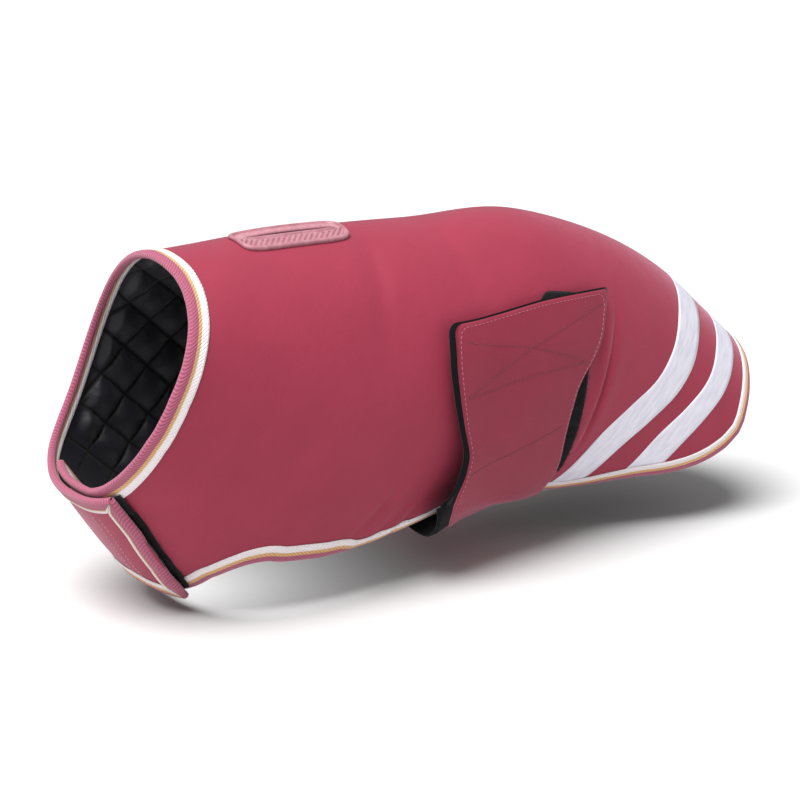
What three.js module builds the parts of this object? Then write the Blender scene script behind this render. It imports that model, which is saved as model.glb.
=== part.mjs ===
import * as THREE from "three";

// Dog winter coat, filled out and empty. Millimetres. +Z up, neck towards -Y, tail towards +Y,
// the coat's left side (belly strap's fastening) towards +X.

// ---- Driving sizes ----
const CLOTH = 1.0;            // outer cloth wall
const SEAM = 0.3;             // clearance between sewn layers
const PRESSED = 2.2;          // quilted lining where stitching or binding presses it flat
const PILLOW = 4.0;           // rise of a quilted square over the pressed lining
const TAPE = 1.0;             // binding tape thickness
const TAPE_WIDTH = 13;        // width of each leg of the folded binding
const LEG_OUT = 0.7;          // clearance of the binding's outer leg over the curved cloth
const LEG_IN = 1.12;         // clearance of its inner leg below the lining
const OVER = 0.7;             // clearance below a piece that lies on the curved outer cloth
const ROLL = 8;               // the coat sits turned this far round the form towards its left side
const UNDERLAP = 43;          // left chest panel beyond the centre of the chest, underneath
const OVERLAP = 32;           // right chest panel beyond the centre of the chest, on top
const SUNK = 3.0;             // left panel pressed inwards below the overlap
const RAISED = 7.0;           // right panel lifted outwards over the overlap
const CHEST_END = 80;         // length of the chest closure along the body
const TAIL_END = 531;         // length to the rear corners
const TAIL_HOLLOW = 15;       // tail edge cut back on the centre line
const HALF_COLUMNS = 15;      // grid columns from the back's centre line to the hem
const TAB_COLUMNS = 7;        // grid columns of a chest panel beyond the hem line
const ARC_STEPS = 90;         // steps of a half section

// The form, a row for each section across the body: s along the back from the neck, y and z of the
// back there, lean of the section's plane, its depth, half width, share of depth where it is widest,
// roundness of its upper and lower half, and how far its sides bow rearwards.
const FORM = [
  { s: 0,   y: 0,     z: 0,    lean: 22,   deep: 158, half: 82,   wide: 0.52, top: 2.1, low: 2.6, bow: 20 },
  { s: 60,  y: 59,    z: 2.5,  lean: 19.5, deep: 226, half: 85,   wide: 0.50, top: 2.0, low: 2.4, bow: 11 },
  { s: 120, y: 119,   z: 4.5,  lean: 19,   deep: 257, half: 87.5, wide: 0.50, top: 2.0, low: 2.3, bow: 4 },
  { s: 200, y: 199,   z: 3.5,  lean: 21,   deep: 256, half: 88.5, wide: 0.50, top: 2.0, low: 2.3, bow: 0 },
  { s: 290, y: 288.5, z: 2,    lean: 27,   deep: 245, half: 85,   wide: 0.50, top: 2.1, low: 2.3, bow: 0 },
  { s: 360, y: 355,   z: -18,  lean: 34,   deep: 234, half: 80,   wide: 0.50, top: 2.2, low: 2.3, bow: 0 },
  { s: 420, y: 408,   z: -46,  lean: 41,   deep: 211, half: 76,   wide: 0.50, top: 2.2, low: 2.3, bow: 0 },
  { s: 470, y: 447,   z: -78,  lean: 45.5, deep: 190, half: 75,   wide: 0.50, top: 2.2, low: 2.3, bow: 0 },
  { s: 525, y: 489,   z: -113, lean: 47.5, deep: 174, half: 77,   wide: 0.50, top: 2.2, low: 2.3, bow: 0 },
];

// The cut: row of the pattern along the back, and the hem's distance round the form on the left.
const CUT = [
  { row: 0,   hem: 225 }, { row: 16,  hem: 235 }, { row: 32,  hem: 245 }, { row: 48,  hem: 254 },
  { row: 64,  hem: 263 }, { row: 80,  hem: 272 }, { row: 85,  hem: 263 }, { row: 92,  hem: 257 },
  { row: 104, hem: 254 }, { row: 120, hem: 256 }, { row: 133, hem: 258 }, { row: 155, hem: 260 },
  { row: 173, hem: 259 }, { row: 191, hem: 256 }, { row: 209, hem: 254 }, { row: 227, hem: 253 },
  { row: 245, hem: 252 }, { row: 263, hem: 251 }, { row: 281, hem: 250 }, { row: 299, hem: 249 },
  { row: 317, hem: 248 }, { row: 335, hem: 247 }, { row: 353, hem: 246 }, { row: 371, hem: 245 },
  { row: 389, hem: 244 }, { row: 407, hem: 242 }, { row: 424, hem: 237 }, { row: 441, hem: 227 },
  { row: 458, hem: 215 }, { row: 474, hem: 202 }, { row: 488, hem: 190 }, { row: 500, hem: 179 },
  { row: 510, hem: 168 }, { row: 518, hem: 156 }, { row: 525, hem: 142 }, { row: 529, hem: 127 },
  { row: 531, hem: 111 },
];

// Reflective stripes: front and rear edge along the back, against distance from the centre line.
const STRIPE_FRONT = [
  { out: 0, fore: 430, aft: 456 }, { out: 60, fore: 431, aft: 457 }, { out: 95, fore: 436, aft: 462 },
  { out: 120, fore: 435, aft: 461 }, { out: 145, fore: 426, aft: 455 }, { out: 175, fore: 416, aft: 448 },
  { out: 215, fore: 417, aft: 449 },
];
const STRIPE_REAR = [
  { out: 0, fore: 478, aft: 500 }, { out: 60, fore: 479, aft: 501 }, { out: 92, fore: 482, aft: 502 },
  { out: 120, fore: 478, aft: 499 }, { out: 150, fore: 472, aft: 496 }, { out: 185, fore: 474, aft: 498 },
];

// Belly strap, from its fastened end on the left side to its sewn root inside the right hem: distance
// round the form along its front and rear edge, their places along the body, and their standing off.
const STRAP = [
  { front: 106, rear: 84, yFront: 178.5, yRear: 315.5, offFront: 0, offRear: 1 },
  { front: 122, rear: 100, yFront: 177, yRear: 310.5, offFront: 0, offRear: 0 },
  { front: 138, rear: 116, yFront: 175.5, yRear: 305, offFront: 0, offRear: 0 },
  { front: 155, rear: 134, yFront: 176, yRear: 295, offFront: 0, offRear: 0 },
  { front: 172, rear: 154, yFront: 178, yRear: 282, offFront: 1, offRear: 0 },
  { front: 188, rear: 174, yFront: 180.5, yRear: 275, offFront: 2, offRear: 0 },
  { front: 203, rear: 194, yFront: 182, yRear: 272, offFront: 4, offRear: 0 },
  { front: 217, rear: 213, yFront: 178, yRear: 271, offFront: 6, offRear: 0 },
  { front: 231, rear: 230, yFront: 172, yRear: 270, offFront: 8, offRear: 0 },
  { front: 244, rear: 245, yFront: 170, yRear: 269, offFront: 8, offRear: -2 },
  { front: 256, rear: 257, yFront: 171, yRear: 268, offFront: 6, offRear: -10 },
  { front: 268, rear: 268, yFront: 174, yRear: 267, offFront: 1, offRear: -16 },
  { front: 281, rear: 279, yFront: 177, yRear: 266, offFront: -5, offRear: -21 },
  { front: 296, rear: 290, yFront: 180, yRear: 264, offFront: -12, offRear: -24 },
  { front: 314, rear: 304, yFront: 183, yRear: 263, offFront: -18, offRear: -26 },
  { front: 336, rear: 322, yFront: 185, yRear: 262, offFront: -24, offRear: -28 },
  { front: 360, rear: 342, yFront: 187, yRear: 261, offFront: -28, offRear: -29 },
  { front: 380, rear: 360, yFront: 188, yRear: 260, offFront: -30, offRear: -30 },
  { front: 398, rear: 374, yFront: 188, yRear: 260, offFront: -30, offRear: -30 },
  { front: 415, rear: 388, yFront: 188, yRear: 260, offFront: -27, offRear: -27 },
  { front: 432, rear: 403, yFront: 188, yRear: 260, offFront: -22, offRear: -22 },
  { front: 450, rear: 421, yFront: 188, yRear: 260, offFront: -18, offRear: -18 },
  { front: 468, rear: 440, yFront: 188, yRear: 260, offFront: -18, offRear: -18 },
  { front: 482, rear: 455, yFront: 188, yRear: 260, offFront: -18, offRear: -18 },
];
// How far the strap's rows sag towards the hem between its edges, by table row.
const SAG = [{ row: 0, sag: 7 }, { row: 3, sag: 6 }, { row: 7, sag: 4 }, { row: 10, sag: 0 }];
const STRAP_COLUMNS = 5;
const STRAP_BACKING = 1.6;    // black backing of the strap
const LOOP_PANEL = 1.5;       // fastening panel on the coat's side
const HOOK_PANEL = 1.2;       // fastening panel under the strap's end

const COLOUR = {
  cloth: 0x8c2f45, lining: 0x17171c, binding: 0xb8637f, tape: 0x101014, stripe: 0xb9bac4,
  rubber: 0x9a4c5e,
};
function material(colour, roughness, metalness = 0) {
  return new THREE.MeshStandardMaterial({ color: colour, roughness, metalness });
}
const CLOTH_LOOK = material(COLOUR.cloth, 0.85);
const LINING_LOOK = material(COLOUR.lining, 0.6);
const BINDING_LOOK = material(COLOUR.binding, 0.85);
const TAPE_LOOK = material(COLOUR.tape, 0.95);
const STRIPE_LOOK = material(COLOUR.stripe, 0.4, 0.1);
const RUBBER_LOOK = material(COLOUR.rubber, 0.5);

// ---- Curves through short tables ----
function along(table, at, key, x) {
  const n = table.length;
  const slope = (i) => (table[i + 1][key] - table[i][key]) / (table[i + 1][at] - table[i][at]);
  if (x <= table[0][at]) return table[0][key] + slope(0) * (x - table[0][at]);
  if (x >= table[n - 1][at]) return table[n - 1][key] + slope(n - 2) * (x - table[n - 1][at]);
  let i = 0;
  while (x > table[i + 1][at]) i++;
  const h = table[i + 1][at] - table[i][at];
  const lean = (k) => {
    if (k === 0) return slope(0);
    if (k === n - 1) return slope(n - 2);
    const a = table[k][at] - table[k - 1][at], b = table[k + 1][at] - table[k][at];
    return (slope(k) * a + slope(k - 1) * b) / (a + b);
  };
  const t = (x - table[i][at]) / h, u = 1 - t;
  return (1 + 2 * t) * u * u * table[i][key] + t * u * u * h * lean(i)
    + t * t * (3 - 2 * t) * table[i + 1][key] + t * t * (t - 1) * h * lean(i + 1);
}
function straight(table, at, key, x) {
  let i = 0;
  while (i < table.length - 2 && x > table[i + 1][at]) i++;
  const a = table[i], b = table[i + 1];
  const t = Math.min(1, Math.max(0, (x - a[at]) / (b[at] - a[at])));
  return a[key] + (b[key] - a[key]) * t;
}
function ease(t) {
  const u = Math.min(1, Math.max(0, t));
  return u * u * (3 - 2 * u);
}

// ---- The form ----
const sections = new Map();
function section(s) {
  const id = s.toFixed(3);
  if (sections.has(id)) return sections.get(id);
  const q = {};
  for (const key of ["y", "z", "lean", "deep", "half", "wide", "top", "low", "bow"]) q[key] = along(FORM, "s", key, s);
  const lean = q.lean * Math.PI / 180;
  const points = [], run = [];
  for (let i = 0; i <= ARC_STEPS; i++) {
    const a = Math.PI * i / ARC_STEPS, e = a <= Math.PI / 2 ? q.top : q.low;
    const across = q.half * Math.pow(Math.max(0, Math.sin(a)), 2 / e);
    const c = Math.pow(Math.abs(Math.cos(a)), 2 / e);
    const down = q.deep * (a <= Math.PI / 2 ? q.wide * (1 - c) : q.wide + (1 - q.wide) * c);
    const p = new THREE.Vector3(across,
      q.y - down * Math.sin(lean) + q.bow * Math.sin(a) ** 2, q.z - down * Math.cos(lean));
    run.push(i ? run[i - 1] + p.distanceTo(points[i - 1]) : 0);
    points.push(p);
  }
  const made = { points, run, girth: run[ARC_STEPS] };
  sections.set(id, made);
  return made;
}
function formPoint(s, g) {
  const { points, run, girth } = section(s);
  let a = Math.abs(g), side = g < 0 ? -1 : 1;
  if (a > girth) { a = 2 * girth - a; side = -side; }
  let low = 0, high = ARC_STEPS;
  while (high - low > 1) { const mid = (low + high) >> 1; if (run[mid] > a) high = mid; else low = mid; }
  const p = points[low].clone().lerp(points[high], (a - run[low]) / (run[high] - run[low]));
  p.x *= side;
  return p;
}
// Steps along the body and round it, and the outward normal.
function frameAt(s, g) {
  const ds = formPoint(s + 2, g).sub(formPoint(s - 2, g)).multiplyScalar(0.25);
  const dg = formPoint(s, g + 6).sub(formPoint(s, g - 6)).multiplyScalar(1 / 12);
  return { ds, dg, normal: dg.clone().cross(ds).normalize() };
}
// Left chest panel sinks and right one rises where they lie over one another.
function lift(s, g) {
  const fade = 1 - ease((s - 84) / 34), girth = section(s).girth;
  if (g > 0) return -SUNK * fade * ease((g - (girth - 100)) / 60);
  return RAISED * fade * ease((-g - (girth - 116)) / 60);
}
// A point of the coat, `off` millimetres outside the outer cloth's face.
function skin(s, g, off = 0) {
  return formPoint(s, g).addScaledVector(frameAt(s, g).normal, off + lift(s, g));
}

// ---- Closed solids ----
const part = new THREE.Group();
part.name = "dog_winter_coat";
function solid(name, vertices, triangles, look) {
  let volume = 0;
  for (const [a, b, c] of triangles) {
    volume += vertices[a].dot(vertices[b].clone().cross(vertices[c]));
  }
  const flat = new Float32Array(vertices.length * 3);
  vertices.forEach((v, i) => flat.set([v.x, v.y, v.z], i * 3));
  const index = triangles.flatMap(([a, b, c]) => (volume < 0 ? [a, c, b] : [a, b, c]));
  const geometry = new THREE.BufferGeometry();
  geometry.setAttribute("position", new THREE.BufferAttribute(flat, 3));
  geometry.setIndex(index);
  geometry.computeVertexNormals();
  const mesh = new THREE.Mesh(geometry, look);
  mesh.name = name;
  part.add(mesh);
  return mesh;
}
// A cloth wall over a grid of rows and columns; cells that keep() leaves out are open.
function wall(name, rows, columns, keep, outer, inner, look, slanted = () => false) {
  const ids = new Map(), vertices = [], triangles = [];
  const id = (i, j, face) => {
    const key = `${i},${j},${face}`;
    if (!ids.has(key)) { ids.set(key, vertices.length); vertices.push((face ? inner : outer)(i, j)); }
    return ids.get(key);
  };
  const edges = new Map();
  const add = (corners) => {
    triangles.push(corners.map(([i, j]) => id(i, j, 0)));
    triangles.push([...corners].reverse().map(([i, j]) => id(i, j, 1)));
    for (let k = 0; k < 3; k++) {
      const p = corners[k], q = corners[(k + 1) % 3];
      const back = `${q}|${p}`;
      if (edges.has(back)) edges.delete(back); else edges.set(`${p}|${q}`, [p, q]);
    }
  };
  for (let i = 0; i < rows; i++) for (let j = 0; j < columns; j++) {
    if (!keep(i, j)) continue;
    const a = [i, j], b = [i, j + 1], c = [i + 1, j + 1], d = [i + 1, j];
    const falling = slanted(i, j) ? outer(...a).distanceTo(outer(...c)) < outer(...b).distanceTo(outer(...d))
      : (i + j) % 2 === 0;
    if (falling) { add([a, b, c]); add([a, c, d]); } else { add([a, b, d]); add([b, c, d]); }
  }
  for (const [p, q] of edges.values()) {
    const a = id(...p, 0), b = id(...q, 0), c = id(...p, 1), d = id(...q, 1);
    triangles.push([b, a, c], [b, c, d]);
  }
  return solid(name, vertices, triangles, look);
}
// A closed outline carried through stations, with end caps.
function sweep(name, stations, outline, look) {
  const n = outline.length, vertices = stations.flat(), triangles = [];
  for (let k = 0; k < stations.length - 1; k++) for (let i = 0; i < n; i++) {
    const a = k * n + i, b = k * n + (i + 1) % n;
    triangles.push([a, b, b + n], [a, b + n, a + n]);
  }
  const shape = outline.map(([u, v]) => new THREE.Vector2(u, v));
  const clockwise = THREE.ShapeUtils.isClockWise(shape);
  const cap = THREE.ShapeUtils.triangulateShape(clockwise ? [...shape].reverse() : shape, [])
    .map((t) => t.map((i) => (clockwise ? n - 1 - i : i)));
  const last = (stations.length - 1) * n;
  for (const [a, b, c] of cap) {
    const ahead = clockwise ? [a, b, c] : [a, c, b];
    triangles.push(ahead, [...ahead].reverse().map((i) => i + last));
  }
  return solid(name, vertices, triangles, look);
}

// ---- Coat cloth and quilted lining on one pattern grid ----
const COLUMNS = 2 * (HALF_COLUMNS + TAB_COLUMNS) + 1;   // one narrow column on the centre line
const SLOT_HALF = 1.7;                                   // half width of the lead slot
const CHEST_ROW = CUT.findIndex((r) => r.row === CHEST_END);
const SLOT_ROWS = [4, 10];                               // pattern rows between which the slot is cut
// Place on the form of a pattern row and column; the columns run from the right chest tip to the left.
function pattern(i, j) {
  const row = CUT[i].row, left = CUT[i].hem, right = left - 2 * ROLL;
  const middle = HALF_COLUMNS + TAB_COLUMNS;
  const step = j <= middle ? j - middle : j - middle - 1;   // ..., -1, 0 | 0, 1, ...
  const side = j <= middle ? -1 : 1, count = Math.abs(step);
  const reach = side > 0 ? left : right;
  let g;
  if (count <= HALF_COLUMNS) {
    const from = ROLL + side * SLOT_HALF;
    g = from + (side * reach - from) * count / HALF_COLUMNS;
  } else {
    const end = section(row).girth + (side > 0 ? UNDERLAP : OVERLAP), bound = TAPE_WIDTH + 2;
    const part = Math.min(1, (count - HALF_COLUMNS) / (TAB_COLUMNS - 1));
    g = side * (count === HALF_COLUMNS + TAB_COLUMNS ? end : reach + (end - bound - reach) * part);
  }
  const out = Math.abs(g - ROLL);
  const hollow = TAIL_HOLLOW * ease((row - 465) / (TAIL_END - 465)) * Math.max(0, 1 - (out / 108) ** 2);
  return { s: row - hollow, g, step, count };
}
const inCloth = (i, j) => {
  const c = j < HALF_COLUMNS + TAB_COLUMNS ? HALF_COLUMNS + TAB_COLUMNS - 1 - j
    : j > HALF_COLUMNS + TAB_COLUMNS ? j - HALF_COLUMNS - TAB_COLUMNS - 1 : -1;
  if (c === -1) return !(i >= SLOT_ROWS[0] && i < SLOT_ROWS[1]);
  return c < HALF_COLUMNS || i < CHEST_ROW;
};
function clothPoint(i, j, off) {
  const { s, g } = pattern(i, j);
  return skin(s, g, off);
}
// Outline of the coat as pattern corners, once round: neck, right front, hem, left front.
const LAST_ROW = CUT.length - 1, LEFT = COLUMNS, RIGHT = 0;
const HEM_RIGHT = TAB_COLUMNS, HEM_LEFT = COLUMNS - TAB_COLUMNS;
function outlineRuns() {
  const neck = [], rightFront = [], hem = [], leftFront = [];
  for (let j = LEFT; j >= RIGHT; j--) neck.push([0, j]);
  for (let i = 0; i <= CHEST_ROW; i++) rightFront.push([i, RIGHT]);
  for (let j = RIGHT; j < HEM_RIGHT; j++) hem.push([CHEST_ROW, j]);
  for (let i = CHEST_ROW; i < LAST_ROW; i++) hem.push([i, HEM_RIGHT]);
  for (let j = HEM_RIGHT; j <= HEM_LEFT; j++) hem.push([LAST_ROW, j]);
  for (let i = LAST_ROW - 1; i >= CHEST_ROW; i--) hem.push([i, HEM_LEFT]);
  for (let j = HEM_LEFT + 1; j <= LEFT; j++) hem.push([CHEST_ROW, j]);
  for (let i = CHEST_ROW; i >= 0; i--) leftFront.push([i, LEFT]);
  return { neck, rightFront, hem, leftFront };
}
const RUNS = outlineRuns();
const EDGE = Object.values(RUNS).flat().map(([i, j]) => pattern(i, j));
// Distance in the pattern from a place to the coat's outline.
function toEdge(s, g) {
  let best = Infinity;
  for (let k = 0; k < EDGE.length; k++) {
    const a = EDGE[k], b = EDGE[(k + 1) % EDGE.length];
    const u = b.s - a.s, v = b.g - a.g, n = u * u + v * v;
    const t = n ? Math.min(1, Math.max(0, ((s - a.s) * u + (g - a.g) * v) / n)) : 0;
    best = Math.min(best, Math.hypot(s - a.s - u * t, g - a.g - v * t));
  }
  return best;
}
function pillow(i, j) {
  const { count, g, s } = pattern(i, j);
  if ((i + count) % 2 === 0) return 0;
  if (i >= SLOT_ROWS[0] - 1 && i <= SLOT_ROWS[1] + 1 && count < 2) return 0;
  if (g < 0 && lift(s, g) > 0.5) return 0;
  for (let a = -1; a <= 1; a++) for (let b = -1; b <= 1; b++) {
    const near = CUT[i + a] && j + b >= 0 && j + b <= COLUMNS ? pattern(i + a, j + b) : null;
    if (!near || toEdge(near.s, near.g) < TAPE_WIDTH + 0.5) return 0;
    if (near.g < 0 && lift(near.s, near.g) > 1.2) return 0;
  }
  return PILLOW;
}
const LINING_OUT = -(CLOTH + SEAM + 0.15);
const LINING_IN = LINING_OUT - PRESSED;
const nearTail = (i) => CUT[i].row >= 488;   // rows slant here towards the rounded corners
wall("shell_cloth", LAST_ROW, COLUMNS, inCloth, (i, j) => clothPoint(i, j, 0),
  (i, j) => clothPoint(i, j, -CLOTH), CLOTH_LOOK, nearTail);
wall("quilted_lining", LAST_ROW, COLUMNS, inCloth, (i, j) => clothPoint(i, j, LINING_OUT),
  (i, j) => clothPoint(i, j, LINING_IN - pillow(i, j)), LINING_LOOK, nearTail);

// ---- Binding folded over the cut edge, mitred at the four chest corners ----
// Section of the folded tape: distance in from the edge, distance out from the cloth's face.
const BIND = [
  [TAPE_WIDTH, LEG_OUT], [TAPE_WIDTH, LEG_OUT + TAPE], [0.4, LEG_OUT + TAPE], [-1.1, -0.4], [-1.4, -1.75],
  [-1.1, -3.1], [0.4, LINING_IN - LEG_IN - TAPE], [TAPE_WIDTH, LINING_IN - LEG_IN - TAPE],
  [TAPE_WIDTH, LINING_IN - LEG_IN], [-0.1, LINING_IN - LEG_IN], [-0.4, -1.75], [-0.1, LEG_OUT],
];
function bindingStations() {
  const ring = [], starts = {};
  for (const [name, run] of Object.entries(RUNS)) {
    starts[name] = ring.length;
    run.slice(0, -1).forEach(([i, j]) => ring.push(pattern(i, j)));
  }
  const count = ring.length;
  const place = ring.map(({ s, g }) => skin(s, g));
  return { starts, count, station: (k, shift, own) => {
    const at = ((k % count) + count) % count, before = (at + count - 1) % count, after = (at + 1) % count;
    const { s, g } = ring[at];
    const { ds, dg, normal } = frameAt(s, g);
    const ahead = place[after].clone().sub(place[at]).normalize();
    const behind = place[at].clone().sub(place[before]).normalize();
    const outA = normal.clone().cross(ahead).normalize(), outB = normal.clone().cross(behind).normalize();
    const out = outA.clone().add(outB).normalize();
    out.multiplyScalar(1 / Math.max(0.35, out.dot(outA)));
    const a = ds.dot(ds), b = ds.dot(dg), c = dg.dot(dg), det = a * c - b * b;
    const u = -out.dot(ds), v = -out.dot(dg);
    const stepS = (u * c - v * b) / det, stepG = (v * a - u * b) / det;
    const slide = (own === "ahead" ? ahead : behind).clone().multiplyScalar(shift);
    return BIND.map(([inwards, off]) => {
      const p = inwards > 0
        ? skin(s + stepS * inwards, g + stepG * inwards, off)
        : skin(s, g, off).addScaledVector(out, -inwards);
      return p.add(slide);
    });
  } };
}
const binding = bindingStations();
const BINDING_NODES = { neck: "neck_binding", rightFront: "right_front_binding", hem: "hem_binding",
  leftFront: "left_front_binding" };
for (const [name, run] of Object.entries(RUNS)) {
  const first = binding.starts[name], last = first + run.length - 1;
  const stations = [];
  for (let k = first; k <= last; k++) {
    const shift = k === first ? 0.7 : k === last ? -0.7 : 0;
    stations.push(binding.station(k, shift, k === first ? "ahead" : "behind"));
  }
  sweep(BINDING_NODES[name], stations, BIND, BINDING_LOOK);
}

// ---- Reflective stripes over the rump ----
function stripe(name, table) {
  const marks = [];
  for (let j = HEM_RIGHT; j <= HEM_LEFT; j++) marks.push(j);
  const row = CUT.reduce((best, r, i) => (Math.abs(r.row - table[0].fore - 12) < Math.abs(CUT[best].row - table[0].fore - 12) ? i : best), 0);
  const reach = CUT[row].hem;
  const edgeOut = (side) => {
    // widest place that keeps clear of the hem binding
    let out = reach - ROLL;
    while (out > 0) {
      const g = ROLL + side * out;
      const fore = straight(table, "out", "fore", out), aft = straight(table, "out", "aft", out);
      if (Math.min(toEdge(fore, g), toEdge(aft, g), toEdge((fore + aft) / 2, g)) > TAPE_WIDTH + 3) break;
      out -= 0.5;
    }
    return out;
  };
  const outRight = edgeOut(-1), outLeft = edgeOut(1);
  const gs = marks.map((j) => pattern(row, j).g).filter((g) => g - ROLL < outLeft - 4 && ROLL - g < outRight - 4);
  gs.unshift(ROLL - outRight);
  gs.push(ROLL + outLeft);
  const at = (i, j, off) => {
    const g = gs[j], out = Math.abs(g - ROLL);
    const fore = along(table, "out", "fore", out), aft = along(table, "out", "aft", out);
    return skin(fore + (aft - fore) * i / 2, g, off);
  };
  wall(name, 2, gs.length - 1, () => true, (i, j) => at(i, j, OVER + 0.6), (i, j) => at(i, j, OVER), STRIPE_LOOK);
}
stripe("reflective_stripe_front", STRIPE_FRONT);
stripe("reflective_stripe_rear", STRIPE_REAR);

// ---- Rubber lead-slot patch on the back ----
const PATCH = { s: 98, half: 41, wide: 19.5, corner: 8, slotHalf: 33, slotWide: 2.1 };
function roundedPlace(a, half, wide, corner) {
  // point of a rounded rectangle's edge in direction a
  const n = 5, c = Math.cos(a), d = Math.sin(a);
  const r = Math.pow(Math.pow(Math.abs(c) / half, n) + Math.pow(Math.abs(d) / wide, n), -1 / n);
  return [c * r, d * r, corner];
}
function leadPatch() {
  const around = 40;
  const rings = [
    { k: 0, off: OVER }, { k: 0, off: OVER + 1.6 }, { k: 0.18, off: OVER + 1.9 }, { k: 0.26, off: OVER + 1.2 },
    { k: 0.74, off: OVER + 1.2 }, { k: 0.82, off: OVER + 2.4 }, { k: 0.94, off: OVER + 2.4 }, { k: 1, off: OVER + 1.9 },
    { k: 1, off: OVER },
  ];
  const stations = [];
  for (let i = 0; i < around; i++) {
    // marks spaced by length rather than by angle, so that the short ends stay round
    const t = 2 * Math.PI * i / around, a = Math.atan2(Math.sin(t) * PATCH.wide, Math.cos(t) * PATCH.half);
    const outer = roundedPlace(a, PATCH.half, PATCH.wide);
    const inner = [Math.cos(t) * PATCH.slotHalf, Math.sin(t) * PATCH.slotWide];
    stations.push(rings.map(({ k, off }) => skin(PATCH.s + inner[0] + (outer[0] - inner[0]) * k,
      ROLL + inner[1] + (outer[1] - inner[1]) * k, off)));
  }
  const n = rings.length, vertices = stations.flat(), triangles = [];
  for (let k = 0; k < around; k++) for (let i = 0; i < n; i++) {
    const a = k * n + i, b = k * n + (i + 1) % n, c = ((k + 1) % around) * n + (i + 1) % n, d = ((k + 1) % around) * n + i;
    triangles.push([a, b, c], [a, c, d]);
  }
  solid("lead_slot_patch", vertices, triangles, RUBBER_LOOK);
}
leadPatch();

// ---- Hook-and-loop closure of the chest ----
// Loop strip on the left panel; it lies over the bindings at the neck and at the chest's lower edge.
function chestLoop() {
  const rows = [1, 8, 14.5, 17.5, 26, 35, 44, 53, 61, 64.5, 71, 78.6], columns = 4;
  const rise = (s) => OVER + 1.6 * Math.max(1 - ease((s - 14.5) / 3), ease((s - 61) / 3.5));
  const at = (i, j, off) => {
    const s = rows[i], girth = section(s).girth;
    const g = girth - OVERLAP - 6 + 34 * j / columns;
    return skin(s, g, off + rise(s));
  };
  wall("chest_loop_strip", rows.length - 1, columns, () => true, (i, j) => at(i, j, 0.9),
    (i, j) => at(i, j, 0), TAPE_LOOK);
}
// Hook strip inside the right panel, between its bindings.
function chestHook() {
  const rows = 6, columns = 3;
  const at = (i, j, off) => {
    const s = 17.5 + 42.5 * i / rows, girth = section(s).girth;
    const g = -(girth + OVERLAP - TAPE_WIDTH - 2 - 26 * (1 - j / columns));
    return skin(s, g, LINING_IN - off);
  };
  wall("chest_hook_strip", rows, columns, () => true, (i, j) => at(i, j, 1.0), (i, j) => at(i, j, 1.9), TAPE_LOOK);
}
chestLoop();
chestHook();

// ---- Belly strap and its fastening ----
// Place along the back whose section meets the line y at distance g round the form.
function lengthAt(y, g) {
  let low = -5, high = 535;
  for (let k = 0; k < 40; k++) {
    const mid = (low + high) / 2;
    if (formPoint(mid, g).y < y) low = mid; else high = mid;
  }
  return (low + high) / 2;
}
const LOOP_TOP = OVER + LOOP_PANEL, HOOK_IN = LOOP_TOP + 0.6, HOOK_TOP = HOOK_IN + HOOK_PANEL;
const BACKING_IN = HOOK_TOP + 0.6, BACKING_OUT = BACKING_IN + STRAP_BACKING;
const STRAP_IN = BACKING_OUT + SEAM, STRAP_OUT = STRAP_IN + CLOTH;
// Corner rounding of the strap's free end, as a pull-in of its outline.
function strapPlace(i, across) {
  const r = STRAP[i];
  const y = r.yFront + (r.yRear - r.yFront) * across;
  const g = r.front + (r.rear - r.front) * across + 4 * across * (1 - across) * straight(SAG, "row", "sag", i);
  const off = r.offFront + (r.offRear - r.offFront) * across;
  return { s: lengthAt(y, g), g, off };
}
function strapLayer(name, out, into, look) {
  const at = (i, j, off) => {
    let across = j / STRAP_COLUMNS;
    if (i === 0 && j === 0) across = 0.03;
    if (i === 0 && j === STRAP_COLUMNS) across = 0.975;
    const p = strapPlace(i, across);
    return skin(p.s, p.g, p.off + off);
  };
  wall(name, STRAP.length - 1, STRAP_COLUMNS, () => true, (i, j) => at(i, j, out), (i, j) => at(i, j, into), look);
}
strapLayer("belly_strap_cloth", STRAP_OUT, STRAP_IN, CLOTH_LOOK);
strapLayer("belly_strap_backing", BACKING_OUT, BACKING_IN, LINING_LOOK);
// Hook panel sewn under the strap's end.
wall("strap_hook_panel", 6, 4, () => true, ...[HOOK_TOP, HOOK_IN].map((off) => (i, j) => {
  const p = strapPlace(1 + i, 0.07 + 0.80 * j / 4);
  return skin(p.s, p.g, off + p.off);
}), TAPE_LOOK);
// Loop panel sewn on the coat's left side, down to the hem binding.
wall("side_loop_panel", 9, 4, () => true, ...[LOOP_TOP, OVER].map((off) => (i, j) => {
  const t = i / 9, across = j / 4;
  const g = 90 + (226 - 6 * across - 90) * t, rear = 297 - 6 * t - 14 * t * t;
  const y = rear - 67 + 67 * across;
  return skin(lengthAt(y, g), g, off);
}), TAPE_LOOK);

// ---- Origin: middle of the lining's inside face over the withers, where the wearer carries it ----
const ORIGIN_ROW = 9;
const origin = skin(CUT[ORIGIN_ROW].row, ROLL, LINING_IN);
part.children.forEach((mesh) => mesh.geometry.translate(-origin.x, -origin.y, -origin.z));

export default part;
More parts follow.
